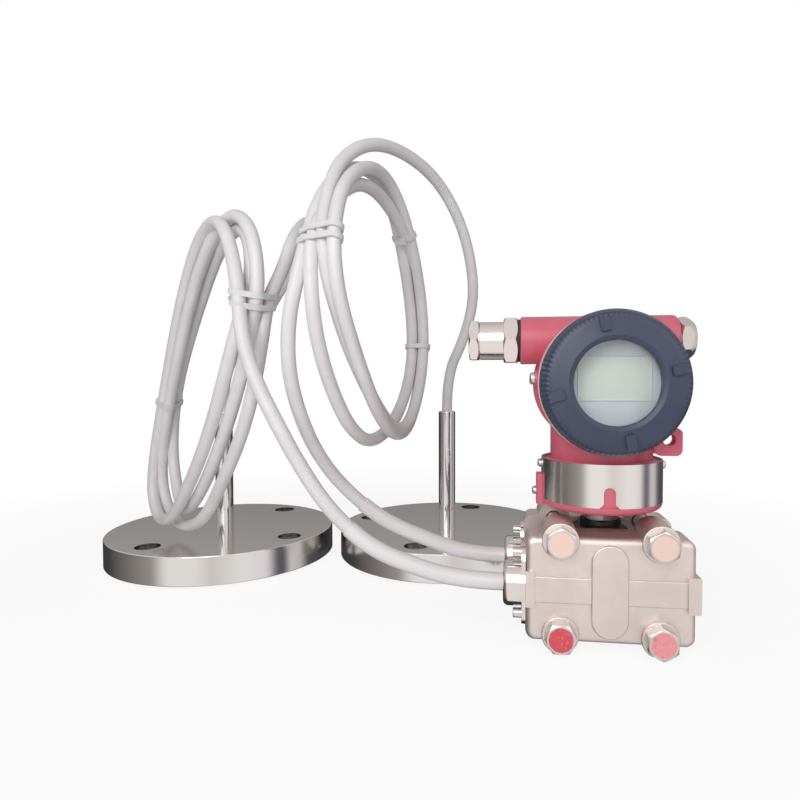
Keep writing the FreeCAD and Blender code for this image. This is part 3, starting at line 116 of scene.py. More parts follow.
# %% Route of the front capillary
FRONT_MOUTH = (-60.0, -27.0, 34.05)
FRONT_WAY_IN = [(-84.0, -27.0, 34.05), (-112.0, -28.5, 41.0), (-141.0, -30.0, 52.5),
                (-166.0, -30.5, 75.0), (-183.0, -34.0, 102.0), (-197.5, -36.5, 130.0),
                (-211.0, -35.0, 155.0), (-221.5, -29.5, 180.0)]
FRONT_TURNS = [
    (-37, 96, -9), (-17, 112, -9), (8, 123, -9), (33, 119, -7.5), (51, 98, -7), (58, 68, -7),
    (59, 26, -7), (55, -15, -7), (50, -55, -7), (43, -94, -7.5), (27, -126, -9), (0, -134, -9),
    (-25, -111, -9), (-38, -67, -9), (-46, -25, -9), (-49, 11, -9), (-46, 45, -8), (-39, 70, -5),
    (-31, 87, -1), (-22, 105, 3), (-8, 119, 4), (11, 124, 5), (30, 114, 5), (45, 90, 5.5),
    (52, 56, 5), (56, 14, 4), (56, -25, 3), (51, -61, 3.5), (38, -94, 5), (12, -112, 5),
    (-14, -113, 3), (-33, -90, 1), (-45, -55, 0), (-52, -10, 0), (-53, 30, 0), (-51, 60, 0),
    (-46, 85, 0), (-40, 103, 1), (-26, 120, 1), (-5, 132, 1), (20, 131, 0), (38, 109, -2.5),
    (47, 75, -4), (49, 35, -4.5), (48, -9, -4.5), (46, -52, -4), (39, -97, -3), (28, -122, -1),
    (8, -133, 1), (-13, -128, 2), (-36, -110, 3), (-53, -83, 4), (-61, -43, 4), (-66, -4, 5),
    (-64, 31, 6), (-56, 60, 7), (-48, 80, 8)]
FRONT_WAY_OUT = [(-214.5, -7.0, 206.0), (-209.0, 6.0, 229.0), (-206.0, 18.0, 254.0),
                 (-208.0, 48.0, 273.0), (-218.0, 83.0, 277.0), (-235.0, 110.0, 263.0),
                 (-254.0, 119.0, 240.0), (-274.0, 119.5, 209.0), (-299.0, 119.3, 182.0),
                 (-311.7, 119.0, 155.0), (-311.7, 119.0, 127.0)]

# %% Route of the rear capillary
REAR_MOUTH = (-60.0, 27.0, 34.05)
REAR_WAY_IN = [(-84.0, 27.0, 34.05), (-113.0, 25.5, 43.5), (-145.0, 22.5, 57.0),
               (-170.0, 15.0, 80.0), (-184.0, 2.0, 104.0), (-191.5, -11.0, 131.0),
               (-195.5, -20.0, 160.0), (-193.0, -26.0, 191.0), (-186.0, -27.5, 219.0)]
REAR_TURNS = [
    (-58, 45, -14), (-48, 63, -12), (-36, 79, -9), (-15, 93, -7), (11, 101, -6), (38, 95, -5),
    (56, 70, -5), (66, 32, -5), (70, -7, -5), (64, -43, -5), (43, -72, -5), (12, -91, -5),
    (-20, -95, -6), (-41, -80, -7), (-54, -58, -8), (-65, -30, -8), (-69, -4, -8), (-67, 22, -8),
    (-62, 44, -8), (-50, 62, -4), (-33, 76, 0), (-10, 85, 2), (14, 83, 2), (37, 72, 2),
    (61, 52, 2), (77, 20, 0), (80, -12, 0), (70, -48, 0), (48, -80, 1), (22, -96, 3),
    (-6, -92, 6), (-27, -73, 8), (-42, -50, 9), (-54, -23, 9), (-62, 4, 8), (-64, 28, 8),
    (-61, 46, 8), (-52, 66, 8), (-37, 81, 7), (-15, 93, 6), (12, 98, 5), (36, 90, 4),
    (55, 68, 4), (69, 32, 4), (73, -8, 4), (66, -43, 4), (48, -72, 4), (28, -90, 4),
    (4, -92, 4), (-16, -73, 3), (-32, -50, 2), (-46, -24, 1), (-54, 0, 0), (-60, 20, 0),
    (-61, 38, 0), (-58, 54, -1)]
REAR_WAY_OUT = [(-171.5, -9.5, 278.0), (-168.0, 8.0, 303.0), (-154.0, 31.0, 321.6),
                (-136.0, 61.0, 325.4), (-116.0, 92.0, 316.0), (-100.0, 116.0, 291.0),
                (-91.0, 130.0, 259.0), (-88.5, 136.0, 225.0), (-98.0, 142.5, 191.0),
                (-114.0, 150.5, 160.0), (-114.0, 150.5, 127.0)]

# %% [markdown]
# The jacket is 9 mm thick. Near each adapter a shrink sleeve covers it: the sleeve follows the first
# four marks and stops half way along the next run, which is where a curve of this order passes anyway,
# so both lie exactly over each other.

# %% Lay the capillaries
JACKET_RADIUS = 0.00455
SLEEVE_RADIUS = 0.0052


def bent_tube(name, points, radius):
    """Round tube along a smooth curve through its control points."""
    data = bpy.data.curves.new(name, "CURVE")
    data.dimensions = "3D"
    data.bevel_depth = 1.0
    data.bevel_resolution = 6
    data.resolution_u = 8
    data.use_fill_caps = True
    spline = data.splines.new("NURBS")
    spline.points.add(len(points) - 1)
    for mark, point in zip(spline.points, points):
        mark.co = (*point, 1.0)
        mark.radius = radius
    spline.order_u = 3
    spline.use_endpoint_u = True
    tube = bpy.data.objects.new(name, data)
    bpy.context.scene.collection.objects.link(tube)
    return tube


def smooth_line(tube):
    """Points along the middle of a tube, read from its curve with the thickness taken off."""
    bare = tube.data.copy()
    bare.bevel_depth = 0
    ghost = bpy.data.objects.new("line", bare)
    mesh = bpy.data.meshes.new_from_object(ghost)
    line = [v.co.copy() for v in mesh.vertices]
    bpy.data.objects.remove(ghost)
    bpy.data.meshes.remove(mesh)
    return line


def lay_capillary(side, mouth, way_in, coil, turns, way_out):
    """One whole capillary from adapter to stem, and the shrink sleeve on its first stretch."""
    plane = coil_plane(coil)
    points = [from_neck(*mouth)] + [from_neck(*p) for p in way_in]
    sleeve_points = points[:4] + [(points[3] + points[4]) / 2]
    points += [plane @ Vector(p) for p in turns]
    points += [from_neck(*p) for p in way_out]
    capillary = bent_tube(side + "_capillary", points, JACKET_RADIUS)
    sleeve = bent_tube(side + "_shrink_sleeve", sleeve_points, SLEEVE_RADIUS)
    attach(capillary, "base")
    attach(sleeve, "base")
    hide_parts(*[side + "_capillary_" + part for part in ("lead", "coil", "tail")])
    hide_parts(side + "_capillary_sleeve")
    line = smooth_line(capillary)
    length = sum((far - near).length for near, far in zip(line, line[1:]))
    print(side, "capillary:", round(length, 3), "m")
    return capillary, sleeve, line, length


front_capillary, front_sleeve, front_line, front_length = lay_capillary(
    "front", FRONT_MOUTH, FRONT_WAY_IN, LEFT_COIL, FRONT_TURNS, FRONT_WAY_OUT)
rear_capillary, rear_sleeve, rear_line, rear_length = lay_capillary(
    "rear", REAR_MOUTH, REAR_WAY_IN, RIGHT_COIL, REAR_TURNS, REAR_WAY_OUT)

# %% [markdown]
# ## Cable ties
#
# Nylon ties hold the turns of each coil together. A tie pulls tight, so its strap has the shape of a
# rubber band round whatever strands it crosses. That shape is the convex outline of a few circles, one
# round each strand, so the strap is worked out from the strands themselves and always hugs them. The
# strap is a closed mesh band, built with its width and thickness, and it ends in the small box of its lock.

# %% Strap outline
TIE_WIDTH = 0.0036
TIE_THICKNESS = 0.0012
LOCK_SIZE = Vector((0.0038, 0.0056, 0.0052))


def strands_at(line, centre, heading, reach=0.028):
    """Where the strands pass through the plane of a tie."""
    hits = []
    for near, far in zip(line, line[1:]):
        before = (near - centre).dot(heading)
        after = (far - centre).dot(heading)
        if before * after <= 0 and before != after:
            place = near.lerp(far, before / (before - after))
            if (place - centre).length < reach:
                hits.append(place)
    return hits


def band_round(spots, radius, steps=20):
    """Convex outline, anticlockwise, of equal circles round flat spots."""
    rim = sorted((x + radius * math.cos(math.tau * k / steps), y + radius * math.sin(math.tau * k / steps))
                 for x, y in spots for k in range(steps))
    outline = []
    for row in (rim, rim[::-1]):
        chain = []
        for spot in row:
            while len(chain) > 1 and ((chain[-1][0] - chain[-2][0]) * (spot[1] - chain[-2][1])
                                      - (chain[-1][1] - chain[-2][1]) * (spot[0] - chain[-2][0])) <= 0:
                chain.pop()
            chain.append(spot)
        outline += chain[:-1]
    return outline


# %% Build the ties
def rounded_box(mesh, middle, size, matrix):
    """Small block with rounded edges, added to a mesh that is being built."""
    made = bmesh.ops.create_cube(mesh, size=1.0)["verts"]
    bmesh.ops.scale(mesh, vec=size, verts=made)
    bmesh.ops.translate(mesh, vec=middle, verts=made)
    edges = list({edge for vert in made for edge in vert.link_edges})
    bevelled = bmesh.ops.bevel(mesh, geom=edges, offset=min(size) * 0.18, segments=2, affect="EDGES")
    corners = {vert for face in bevelled["faces"] for vert in face.verts} | {v for v in made if v.is_valid}
    bmesh.ops.transform(mesh, matrix=matrix, verts=list(corners))


def cable_tie(name, line, coil, places, replaced):
    """Ties side by side round the strands of a coil, each with its lock and the stub of its tail."""
    plane = coil_plane(coil)
    mesh = bmesh.new()
    for x, y, heading_angle, lock_angle in places:
        centre = plane @ Vector((x, y, 0))
        angle = math.radians(heading_angle)
        heading = (plane.to_3x3() @ Vector((math.cos(angle), math.sin(angle), 0))).normalized()
        side = (plane.to_3x3() @ Vector((0, 0, 1))).normalized()
        out = side.cross(heading).normalized()
        spots = [((p - centre).dot(out), (p - centre).dot(side)) for p in strands_at(line, centre, heading)]
        inner = band_round(spots, JACKET_RADIUS + 0.0001)
        outer = band_round(spots, JACKET_RADIUS + 0.0001 + TIE_THICKNESS)
        frame_here = Matrix((out, side, heading)).transposed().to_4x4()
        frame_here.translation = centre
        rings = []
        for outline, level in ((inner, -0.5), (inner, 0.5), (outer, 0.5), (outer, -0.5)):
            rings.append([mesh.verts.new(frame_here @ Vector((u, w, level * TIE_WIDTH))) for u, w in outline])
        for ring, after in zip(rings, rings[1:] + rings[:1]):
            for k in range(len(ring)):
                far = (k + 1) % len(ring)
                if len(ring) == len(after):
                    mesh.faces.new((ring[k], ring[far], after[far], after[k]))
        aim = Vector((math.cos(math.radians(lock_angle)), math.sin(math.radians(lock_angle))))
        seat = max(outer, key=lambda spot: Vector(spot).dot(aim))
        lock_frame = frame_here @ Matrix.Translation((seat[0], seat[1], 0)) \
            @ Matrix.Rotation(math.radians(lock_angle), 4, "Z")
        rounded_box(mesh, Vector((LOCK_SIZE.x * 0.35, 0, 0)), LOCK_SIZE, lock_frame)
        rounded_box(mesh, Vector((LOCK_SIZE.x * 0.55, LOCK_SIZE.y * 0.75, 0)),
                    Vector((TIE_THICKNESS, LOCK_SIZE.y, TIE_WIDTH * 0.9)), lock_frame)
        print(name, "strands:", len(spots))
    bmesh.ops.recalc_face_normals(mesh, faces=mesh.faces)
    data = bpy.data.meshes.new(name)
    mesh.to_mesh(data)
    mesh.free()
    tie = bpy.data.objects.new(name, data)
    bpy.context.scene.collection.objects.link(tie)
    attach(tie, "base")
    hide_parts(replaced)
    return tie


left_white_ties = cable_tie("left_white_ties", front_line, LEFT_COIL,
                            [(-40.2, 92.6, 74, 200), (-37.6, 98.9, 70, 190)],
                            "left_coil_main_ties")
left_clear_tie = cable_tie("left_clear_tie", front_line, LEFT_COIL,
                           [(50.6, -49.0, 84, 150)], "left_coil_clear_tie")
right_white_ties = cable_tie("right_white_ties", rear_line, RIGHT_COIL,
                             [(-59.0, 42.0, 64, 200), (-56.2, 47.9, 62, 190)],
                             "right_coil_main_ties")
right_upper_tie = cable_tie("right_upper_tie", rear_line, RIGHT_COIL,
                            [(58.5, 55.0, -62, 180)], "right_coil_upper_tie")
right_clear_tie = cable_tie("right_clear_tie", rear_line, RIGHT_COIL,
                            [(66.0, -33.0, 74, 180)], "right_coil_clear_tie")

# %% [markdown]
# ## Finishes
#
# Every finish below is procedural. Colours are written as the sRGB hex values that a painter would
# match, and one function turns them to the linear values that the shader works in. A second
# small function adds any node with its settings and links. Patterns are laid out in object
# coordinates, which are metres here, so a grit of 1 mm is a noise of scale 1000.

# %% Colour and node helpers
def linear(hex_colour):
    """Linear RGBA of an sRGB hex colour."""
    parts = [int(hex_colour[k:k + 2], 16) / 255 for k in (1, 3, 5)]
    return [c / 12.92 if c <= 0.04045 else ((c + 0.055) / 1.055) ** 2.4 for c in parts] + [1.0]


def add(tree, kind, inputs=None, **settings):
    """Add a node, set its options, and give each named input a value or a link."""
    made = tree.nodes.new(kind)
    for name, value in settings.items():
        setattr(made, name, value)
    for name, value in (inputs or {}).items():
        if isinstance(value, bpy.types.NodeSocket):
            tree.links.new(value, made.inputs[name])
        else:
            made.inputs[name].default_value = value
    return made


def finish(name, colour, **sockets):
    """New material with one Principled shader, its colour and the sockets given by name."""
    material = bpy.data.materials.new(name)
    material.use_nodes = True
    shader = material.node_tree.nodes["Principled BSDF"]
    shader.inputs["Base Color"].default_value = linear(colour)
    for socket, value in sockets.items():
        shader.inputs[socket.replace("_", " ")].default_value = value
    return material, material.node_tree, shader


def dress(material, *pieces):
    """Give the material to CAD nodes, named by text, or to pieces made here."""
    for piece in pieces:
        data = nodes[piece].data if isinstance(piece, str) else piece.data
        data.materials.clear()
        data.materials.append(material)
        if isinstance(piece, str):
            continue
        if hasattr(data, "polygons"):
            for face in data.polygons:
                face.material_index = 0


# %% Grain helpers
def grain(tree, shader, size_mm, depth_mm, strength, detail=2.0):
    """Fine even relief of a grain size and depth in millimetres; returns the noise for reuse."""
    place = add(tree, "ShaderNodeTexCoord")
    noise = add(tree, "ShaderNodeTexNoise", {"Vector": place.outputs["Object"], "Scale": 1000 / size_mm,
                                             "Detail": detail, "Roughness": 0.55})
    bump = add(tree, "ShaderNodeBump", {"Height": noise.outputs["Fac"], "Strength": strength,
                                        "Distance": depth_mm / 1000})
    tree.links.new(bump.outputs["Normal"], shader.inputs["Normal"])
    return noise


def mottle(tree, shader, size_mm, pale, dark):
    """Slow change between two close colours, as a casting or coat of paint has."""
    place = add(tree, "ShaderNodeTexCoord")
    cloud = add(tree, "ShaderNodeTexNoise", {"Vector": place.outputs["Object"], "Scale": 1000 / size_mm,
                                             "Detail": 3.0, "Roughness": 0.6})
    ramp = add(tree, "ShaderNodeValToRGB", {"Fac": cloud.outputs["Fac"]})
    ramp.color_ramp.elements[0].position = 0.35
    ramp.color_ramp.elements[0].color = linear(dark)
    ramp.color_ramp.elements[1].position = 0.65
    ramp.color_ramp.elements[1].color = linear(pale)
    tree.links.new(ramp.outputs["Color"], shader.inputs["Base Color"])
    return ramp


# %% [markdown]
# ### Cast stainless steel
#
# The process flanges are investment castings, blasted with glass beads. Blasting leaves an even satin
# skin with no direction to it, so the metal is rough and its relief is a fine round grain. The grit is
# about 0.2 mm, too fine to show at this distance, so it is drawn at 0.9 mm.

# %% Cast stainless steel
cast_stainless, tree, shader = finish("cast_stainless_blasted", "#DCD1CD", Metallic=1.0, Roughness=0.5)
mottle(tree, shader, 22, "#E0D5D1", "#D8CCC8")
grain(tree, shader, 0.9, 0.05, 0.35)
dress(cast_stainless, "front_process_flange", "rear_process_flange")

# %% [markdown]
# ### Turned and polished stainless steel
#
# The seal flanges are faced on a lathe, which leaves fine rings about the middle of each, and then
# polished. The rings are drawn as a wave texture in rings about the axis of the flange, 0.25 mm apart on
# the real one and 0.8 mm apart here, broken up by a little noise. The stems and the caps of the adapters
# are polished all over and keep only faint marks.

# %% Polished stainless steel
def turned_steel(name, colour, middle, roughness, pitch_mm, strength):
    """Polished steel with lathe rings about an upright axis through a point."""
    material, tree, shader = finish(name, colour, Metallic=1.0, Roughness=roughness)
    place = add(tree, "ShaderNodeTexCoord")
    about = add(tree, "ShaderNodeMapping", {"Vector": place.outputs["Object"], "Location": -middle})
    rings = add(tree, "ShaderNodeTexWave", {"Vector": about.outputs["Vector"], "Scale": 1000 / pitch_mm / 10,
                                            "Distortion": 1.2, "Detail": 2.0, "Detail Scale": 3.0},
                wave_type="RINGS", rings_direction="Z")
    bump = add(tree, "ShaderNodeBump", {"Height": rings.outputs["Fac"], "Strength": strength,
                                        "Distance": 0.00004})
    tree.links.new(bump.outputs["Normal"], shader.inputs["Normal"])
    spread = add(tree, "ShaderNodeTexNoise", {"Vector": about.outputs["Vector"], "Scale": 40.0,
                                              "Detail": 3.0})
    rough = add(tree, "ShaderNodeMapRange", {"Value": spread.outputs["Fac"], "To Min": roughness - 0.03,
                                             "To Max": roughness + 0.05})
    tree.links.new(rough.outputs["Result"], shader.inputs["Roughness"])
    return material


def middle_of(node):
    low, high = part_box(node)
    return (low + high) / 2


for side in ("left", "right"):
    flange_steel = turned_steel(side + "_seal_flange_turned_steel", "#DBD8D5",
                                middle_of(side + "_seal_flange"),
                                0.14, 0.8, 0.15)
    dress(flange_steel, side + "_seal_flange", side + "_seal_diaphragm")
stem_steel = turned_steel("polished_stem_steel", "#DAD8D6", middle_of("left_seal_stem"), 0.08, 1.2, 0.03)
dress(stem_steel, "left_seal_stem", "right_seal_stem")
cap_steel, tree, shader = finish("polished_cap_steel", "#DED7D5", Metallic=1.0, Roughness=0.12)
grain(tree, shader, 1.5, 0.02, 0.06)
dress(cap_steel, "front_capillary_adapter", "rear_capillary_adapter", "isolating_diaphragms")

# %% [markdown]
# ### Plated bolts with marking dye
#
# The four through bolts are plated steel. A dab of dye on top of each head shows that it has been
# tightened: red on the lower two, and a pale, wiped tint on the upper two. The dye is a mask in the
# material: the distance from the nearest bolt axis gives a disc on the end face of each head, and the
# height chooses the colour.

# %% Bolts
bolt_low, bolt_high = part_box("flange_bolts")
bolt_steel, tree, shader = finish("plated_bolt_steel", "#D5D0CC", Metallic=1.0, Roughness=0.3)
place = add(tree, "ShaderNodeTexCoord")
bolt_middle = Vector((NECK_X, bolt_low.y, (bolt_low.z + bolt_high.z) / 2))
away = add(tree, "ShaderNodeVectorMath", {0: place.outputs["Object"], 1: bolt_middle}, operation="SUBTRACT")
folded = add(tree, "ShaderNodeVectorMath", {0: away.outputs["Vector"]}, operation="ABSOLUTE")
nearest = add(tree, "ShaderNodeVectorMath", {0: folded.outputs["Vector"], 1: (0.0275, 0, 0.02675)},
              operation="SUBTRACT")
flat = add(tree, "ShaderNodeVectorMath", {0: nearest.outputs["Vector"], 1: (1, 0, 1)}, operation="MULTIPLY")
radius = add(tree, "ShaderNodeVectorMath", {0: flat.outputs["Vector"]}, operation="LENGTH")
blot = add(tree, "ShaderNodeTexNoise", {"Vector": place.outputs["Object"], "Scale": 420.0, "Detail": 3.0})
ragged = add(tree, "ShaderNodeMath", {0: blot.outputs["Fac"], 1: 0.0008, 2: radius.outputs["Value"]},
             operation="MULTIPLY_ADD")
disc = add(tree, "ShaderNodeMapRange", {"Value": ragged.outputs["Value"], "From Min": 0.0071,
                                        "From Max": 0.0075, "To Min": 1.0, "To Max": 0.0})
depth = add(tree, "ShaderNodeSeparateXYZ", {"Vector": away.outputs["Vector"]})
on_face = add(tree, "ShaderNodeMath", {0: depth.outputs["Y"], 1: 0.0004}, operation="LESS_THAN")
mask = add(tree, "ShaderNodeMath", {0: disc.outputs["Result"], 1: on_face.outputs["Value"]},
           operation="MULTIPLY")
upper = add(tree, "ShaderNodeMath", {0: depth.outputs["Z"], 1: 0.0}, operation="GREATER_THAN")
fade = add(tree, "ShaderNodeMath", {0: depth.outputs["X"], 1: 8.0, 2: blot.outputs["Fac"]},
           operation="MULTIPLY_ADD")
wiped = add(tree, "ShaderNodeValToRGB", {"Fac": fade.outputs["Value"]})
wiped.color_ramp.elements[0].position = 0.30
wiped.color_ramp.elements[0].color = linear("#E0505E")
wiped.color_ramp.elements[1].position = 0.68
wiped.color_ramp.elements[1].color = linear("#FCA4A8")
dye = add(tree, "ShaderNodeMix", {"Factor": upper.outputs["Value"], "A": wiped.outputs["Color"],
                                  "B": linear("#FFDDD0")}, data_type="RGBA")
colour = add(tree, "ShaderNodeMix", {"Factor": mask.outputs["Value"], "A": linear("#D5D0CC"),
                                     "B": dye.outputs["Result"]}, data_type="RGBA")
metal = add(tree, "ShaderNodeMath", {0: 1.0, 1: mask.outputs["Value"]}, operation="SUBTRACT")
tree.links.new(colour.outputs["Result"], shader.inputs["Base Color"])
tree.links.new(metal.outputs["Value"], shader.inputs["Metallic"])
dress(bolt_steel, "flange_bolts", "flange_nuts")
print("bolt heads at y", round(bolt_low.y, 4))

# %% [markdown]
# ### Enamelled aluminium
#
# The head and its two covers are aluminium castings under a stoved coat. Enamel is a smooth dielectric
# layer, so it has no metallic part, a middle roughness, and a faint orange peel about 2 mm across where
# the wet coat levelled out. The head is rose red and the covers are slate blue.
#
# The ribs round the rims of the covers are only a bump in the material here, so the outline of each rim
# stays smooth. Real ribs would be cut into the mesh.

# %% Enamels
rose_enamel, tree, shader = finish("rose_stoved_enamel", "#DE6D80", Roughness=0.32)
mottle(tree, shader, 30, "#E07083", "#D9687B")
grain(tree, shader, 2.0, 0.05, 0.12)
dress(rose_enamel, "housing")

slate_enamel, tree, shader = finish("slate_stoved_enamel", "#3A4058", Roughness=0.4)
mottle(tree, shader, 30, "#3D435B", "#363C53")
place = add(tree, "ShaderNodeTexCoord")
centred = add(tree, "ShaderNodeVectorMath", {0: place.outputs["Object"], 1: middle_of("front_cover_seal")},
              operation="SUBTRACT")
parts = add(tree, "ShaderNodeSeparateXYZ", {"Vector": centred.outputs["Vector"]})
around = add(tree, "ShaderNodeMath", {0: parts.outputs["Z"], 1: parts.outputs["X"]}, operation="ARCTAN2")
KNURL_COUNT = 88
KNURL_INNER = 0.0352
KNURL_OUTER = 0.0366
teeth = add(tree, "ShaderNodeMath", {0: around.outputs["Value"], 1: float(KNURL_COUNT)}, operation="MULTIPLY")
ridge = add(tree, "ShaderNodeMath", {0: teeth.outputs["Value"]}, operation="SINE")
flat = add(tree, "ShaderNodeVectorMath", {0: centred.outputs["Vector"], 1: (1, 0, 1)}, operation="MULTIPLY")
radius = add(tree, "ShaderNodeVectorMath", {0: flat.outputs["Vector"]}, operation="LENGTH")
rim = add(tree, "ShaderNodeMapRange", {"Value": radius.outputs["Value"], "From Min": KNURL_INNER,
                                       "From Max": KNURL_OUTER})
knurl = add(tree, "ShaderNodeMath", {0: ridge.outputs["Value"], 1: rim.outputs["Result"]},
            operation="MULTIPLY")
peel = add(tree, "ShaderNodeTexNoise", {"Vector": place.outputs["Object"], "Scale": 500.0, "Detail": 2.0})
height = add(tree, "ShaderNodeMath", {0: peel.outputs["Fac"], 1: 0.12, 2: knurl.outputs["Value"]},
             operation="MULTIPLY_ADD")
bump = add(tree, "ShaderNodeBump", {"Height": height.outputs["Value"], "Strength": 0.45, "Distance": 0.0004})
tree.links.new(bump.outputs["Normal"], shader.inputs["Normal"])
dress(slate_enamel, "front_cover", "rear_cover")

# %% [markdown]
# ### Brushed band
#
# A strip of stainless steel wraps the base of the head. Rolling and brushing leave hair lines along its
# length, so the relief is noise stretched round the band: fine from top to bottom and long sideways.

# %% Brushed band
band_steel, tree, shader = finish("brushed_band_steel", "#E3DEDB", Metallic=1.0, Roughness=0.2)
place = add(tree, "ShaderNodeTexCoord")
long_way = add(tree, "ShaderNodeMapping", {"Vector": place.outputs["Object"], "Scale": (30, 30, 1600)})
hair = add(tree, "ShaderNodeTexNoise", {"Vector": long_way.outputs["Vector"], "Scale": 1.0, "Detail": 4.0})
bump = add(tree, "ShaderNodeBump", {"Height": hair.outputs["Fac"], "Strength": 0.25, "Distance": 0.00008})
tree.links.new(bump.outputs["Normal"], shader.inputs["Normal"])
dress(band_steel, "name_band")

# %% [markdown]
# ### Small steel and plated brass
#
# Screws are zinc plated, the neck is a plain plated steel, and the gland and blanking plug are nickel
# plated brass, which is warmer than stainless and polished by tumbling.

# %% Small metal
screw_steel, tree, shader = finish("zinc_plated_screws", "#D0CDCB", Metallic=1.0, Roughness=0.22)
grain(tree, shader, 1.0, 0.03, 0.1)
dress(screw_steel, "adapter_screws", "band_screws", "earth_screw", "head_lock_screw", "terminal_screws",
      "board_posts")
neck_steel, tree, shader = finish("plated_neck_steel", "#B4B2B2", Metallic=1.0, Roughness=0.3)
grain(tree, shader, 1.0, 0.03, 0.2)
dress(neck_steel, "neck_adapter")
nickel, tree, shader = finish("nickel_plated_brass", "#E4DAD7", Metallic=1.0, Roughness=0.13)
grain(tree, shader, 1.2, 0.03, 0.05)
dress(nickel, "gland_body", "gland_nut", "conduit_plug")
black_steel, tree, shader = finish("black_coated_steel", "#27272B", Roughness=0.45, Metallic=0.3)
grain(tree, shader, 1.0, 0.04, 0.3)
dress(black_steel, "sensor_capsule", "window_retainer")

# %% [markdown]
# ### Rubber, gaskets, board and terminals
#
# The sealing rings between the covers and the head show as a thin pale line, and the gland washer and
# grommet are black rubber. The pieces behind the glass and inside the head are finished plainly.

# %% Rubber and inner pieces
pale_rubber, tree, shader = finish("pale_ring_rubber", "#D5CCC6", Roughness=0.6)
grain(tree, shader, 0.8, 0.03, 0.2)
dress(pale_rubber, "front_cover_seal", "rear_cover_seal", "capsule_gaskets")
black_rubber, tree, shader = finish("black_rubber", "#2B2B2C", Roughness=0.7)
grain(tree, shader, 0.8, 0.05, 0.3)
dress(black_rubber, "gland_washer", "gland_grommet")
board_green, tree, shader = finish("lacquered_board", "#2E6B45", Roughness=0.35)
mottle(tree, shader, 3, "#35754D", "#27603C")
dress(board_green, "electronics_board")
terminal_black, tree, shader = finish("moulded_terminal_plastic", "#2A2B2E", Roughness=0.5)
grain(tree, shader, 1.0, 0.04, 0.3)
dress(terminal_black, "terminal_block")

# %% [markdown]
# ### Display and window
#
# The window is a flat disc of toughened glass. A solid disc of glass keeps lamp light off what lies
# behind it, because light that bends through it finds no lamp, so shadow rays pass straight through.
# The display carrier is a moulded pale plastic and the panel on it is a bare reflective screen, switched
# off, greyish green with a thin pale border.

# %% Display and window
glass, tree, shader = finish("toughened_window_glass", "#FAFCFC", Roughness=0.0, Transmission_Weight=1.0,
                             IOR=1.5)
light_path = add(tree, "ShaderNodeLightPath")
clear = add(tree, "ShaderNodeBsdfTransparent")
unseen = add(tree, "ShaderNodeMath", {0: light_path.outputs["Is Shadow Ray"],
                                      1: light_path.outputs["Is Diffuse Ray"]}, operation="MAXIMUM")
through = add(tree, "ShaderNodeMixShader", {0: unseen.outputs["Value"], 1: shader.outputs["BSDF"],
                                            2: clear.outputs["BSDF"]})
tree.links.new(through.outputs["Shader"], tree.nodes["Material Output"].inputs["Surface"])
dress(glass, "window_glass")
carrier, tree, shader = finish("moulded_display_carrier", "#D5DBE4", Roughness=0.35)
mottle(tree, shader, 20, "#DAE0E8", "#D0D6E0")
dress(carrier, "display_module")

screen, tree, shader = finish("reflective_screen", "#CBD3C8", Roughness=0.3)
place = add(tree, "ShaderNodeTexCoord")
centred = add(tree, "ShaderNodeVectorMath", {0: place.outputs["Object"], 1: middle_of("display_panel")},
              operation="SUBTRACT")
folded = add(tree, "ShaderNodeVectorMath", {0: centred.outputs["Vector"]}, operation="ABSOLUTE")
edges = add(tree, "ShaderNodeSeparateXYZ", {"Vector": folded.outputs["Vector"]})
far_x = add(tree, "ShaderNodeMath", {0: edges.outputs["X"], 1: 0.0187}, operation="GREATER_THAN")
far_z = add(tree, "ShaderNodeMath", {0: edges.outputs["Z"], 1: 0.0112}, operation="GREATER_THAN")
border = add(tree, "ShaderNodeMath", {0: far_x.outputs["Value"], 1: far_z.outputs["Value"]},
             operation="MAXIMUM")
cell = add(tree, "ShaderNodeTexNoise", {"Vector": centred.outputs["Vector"], "Scale": 60.0, "Detail": 1.0})
panel_colour = add(tree, "ShaderNodeMix", {"Factor": cell.outputs["Fac"], "A": linear("#DDE5D9"),
                                           "B": linear("#D6DFD8")}, data_type="RGBA")
shown = add(tree, "ShaderNodeMix", {"Factor": border.outputs["Value"], "A": panel_colour.outputs["Result"],
                                    "B": linear("#E8ECE8")}, data_type="RGBA")
tree.links.new(shown.outputs["Result"], shader.inputs["Base Color"])
dress(screen, "display_panel")

# %% [markdown]
# ### Capillary jacket, sleeve and ties
#
# The jacket is pale grey PVC drawn over spiral armour, and the turns of the armour print through it as
# faint rings about 4 mm apart. A curve carries its own coordinates, along and round, so a wave along
# its length gives the rings. The shrink sleeve is the same grey, a little warmer, and the ties are
# natural nylon, two of them partly clear.

# %% Jacket, sleeve and ties
ARMOUR_PITCH = 0.004


def jacket_finish(name, colour, length, roughness):
    """Pale PVC with the faint rings of the armour under it, along a tube of a known length."""
    material, tree, shader = finish(name, colour, Roughness=roughness)
    place = add(tree, "ShaderNodeTexCoord")
    parts = add(tree, "ShaderNodeSeparateXYZ", {"Vector": place.outputs["UV"]})
    turns = add(tree, "ShaderNodeMath", {0: parts.outputs["X"], 1: math.tau * length / ARMOUR_PITCH},
                operation="MULTIPLY")
    wave = add(tree, "ShaderNodeMath", {0: turns.outputs["Value"]}, operation="SINE")
    bump = add(tree, "ShaderNodeBump", {"Height": wave.outputs["Value"], "Strength": 0.08,
                                        "Distance": 0.0002})
    tree.links.new(bump.outputs["Normal"], shader.inputs["Normal"])
    mottle(tree, shader, 25, colour, "#E2DEDF")
    return material


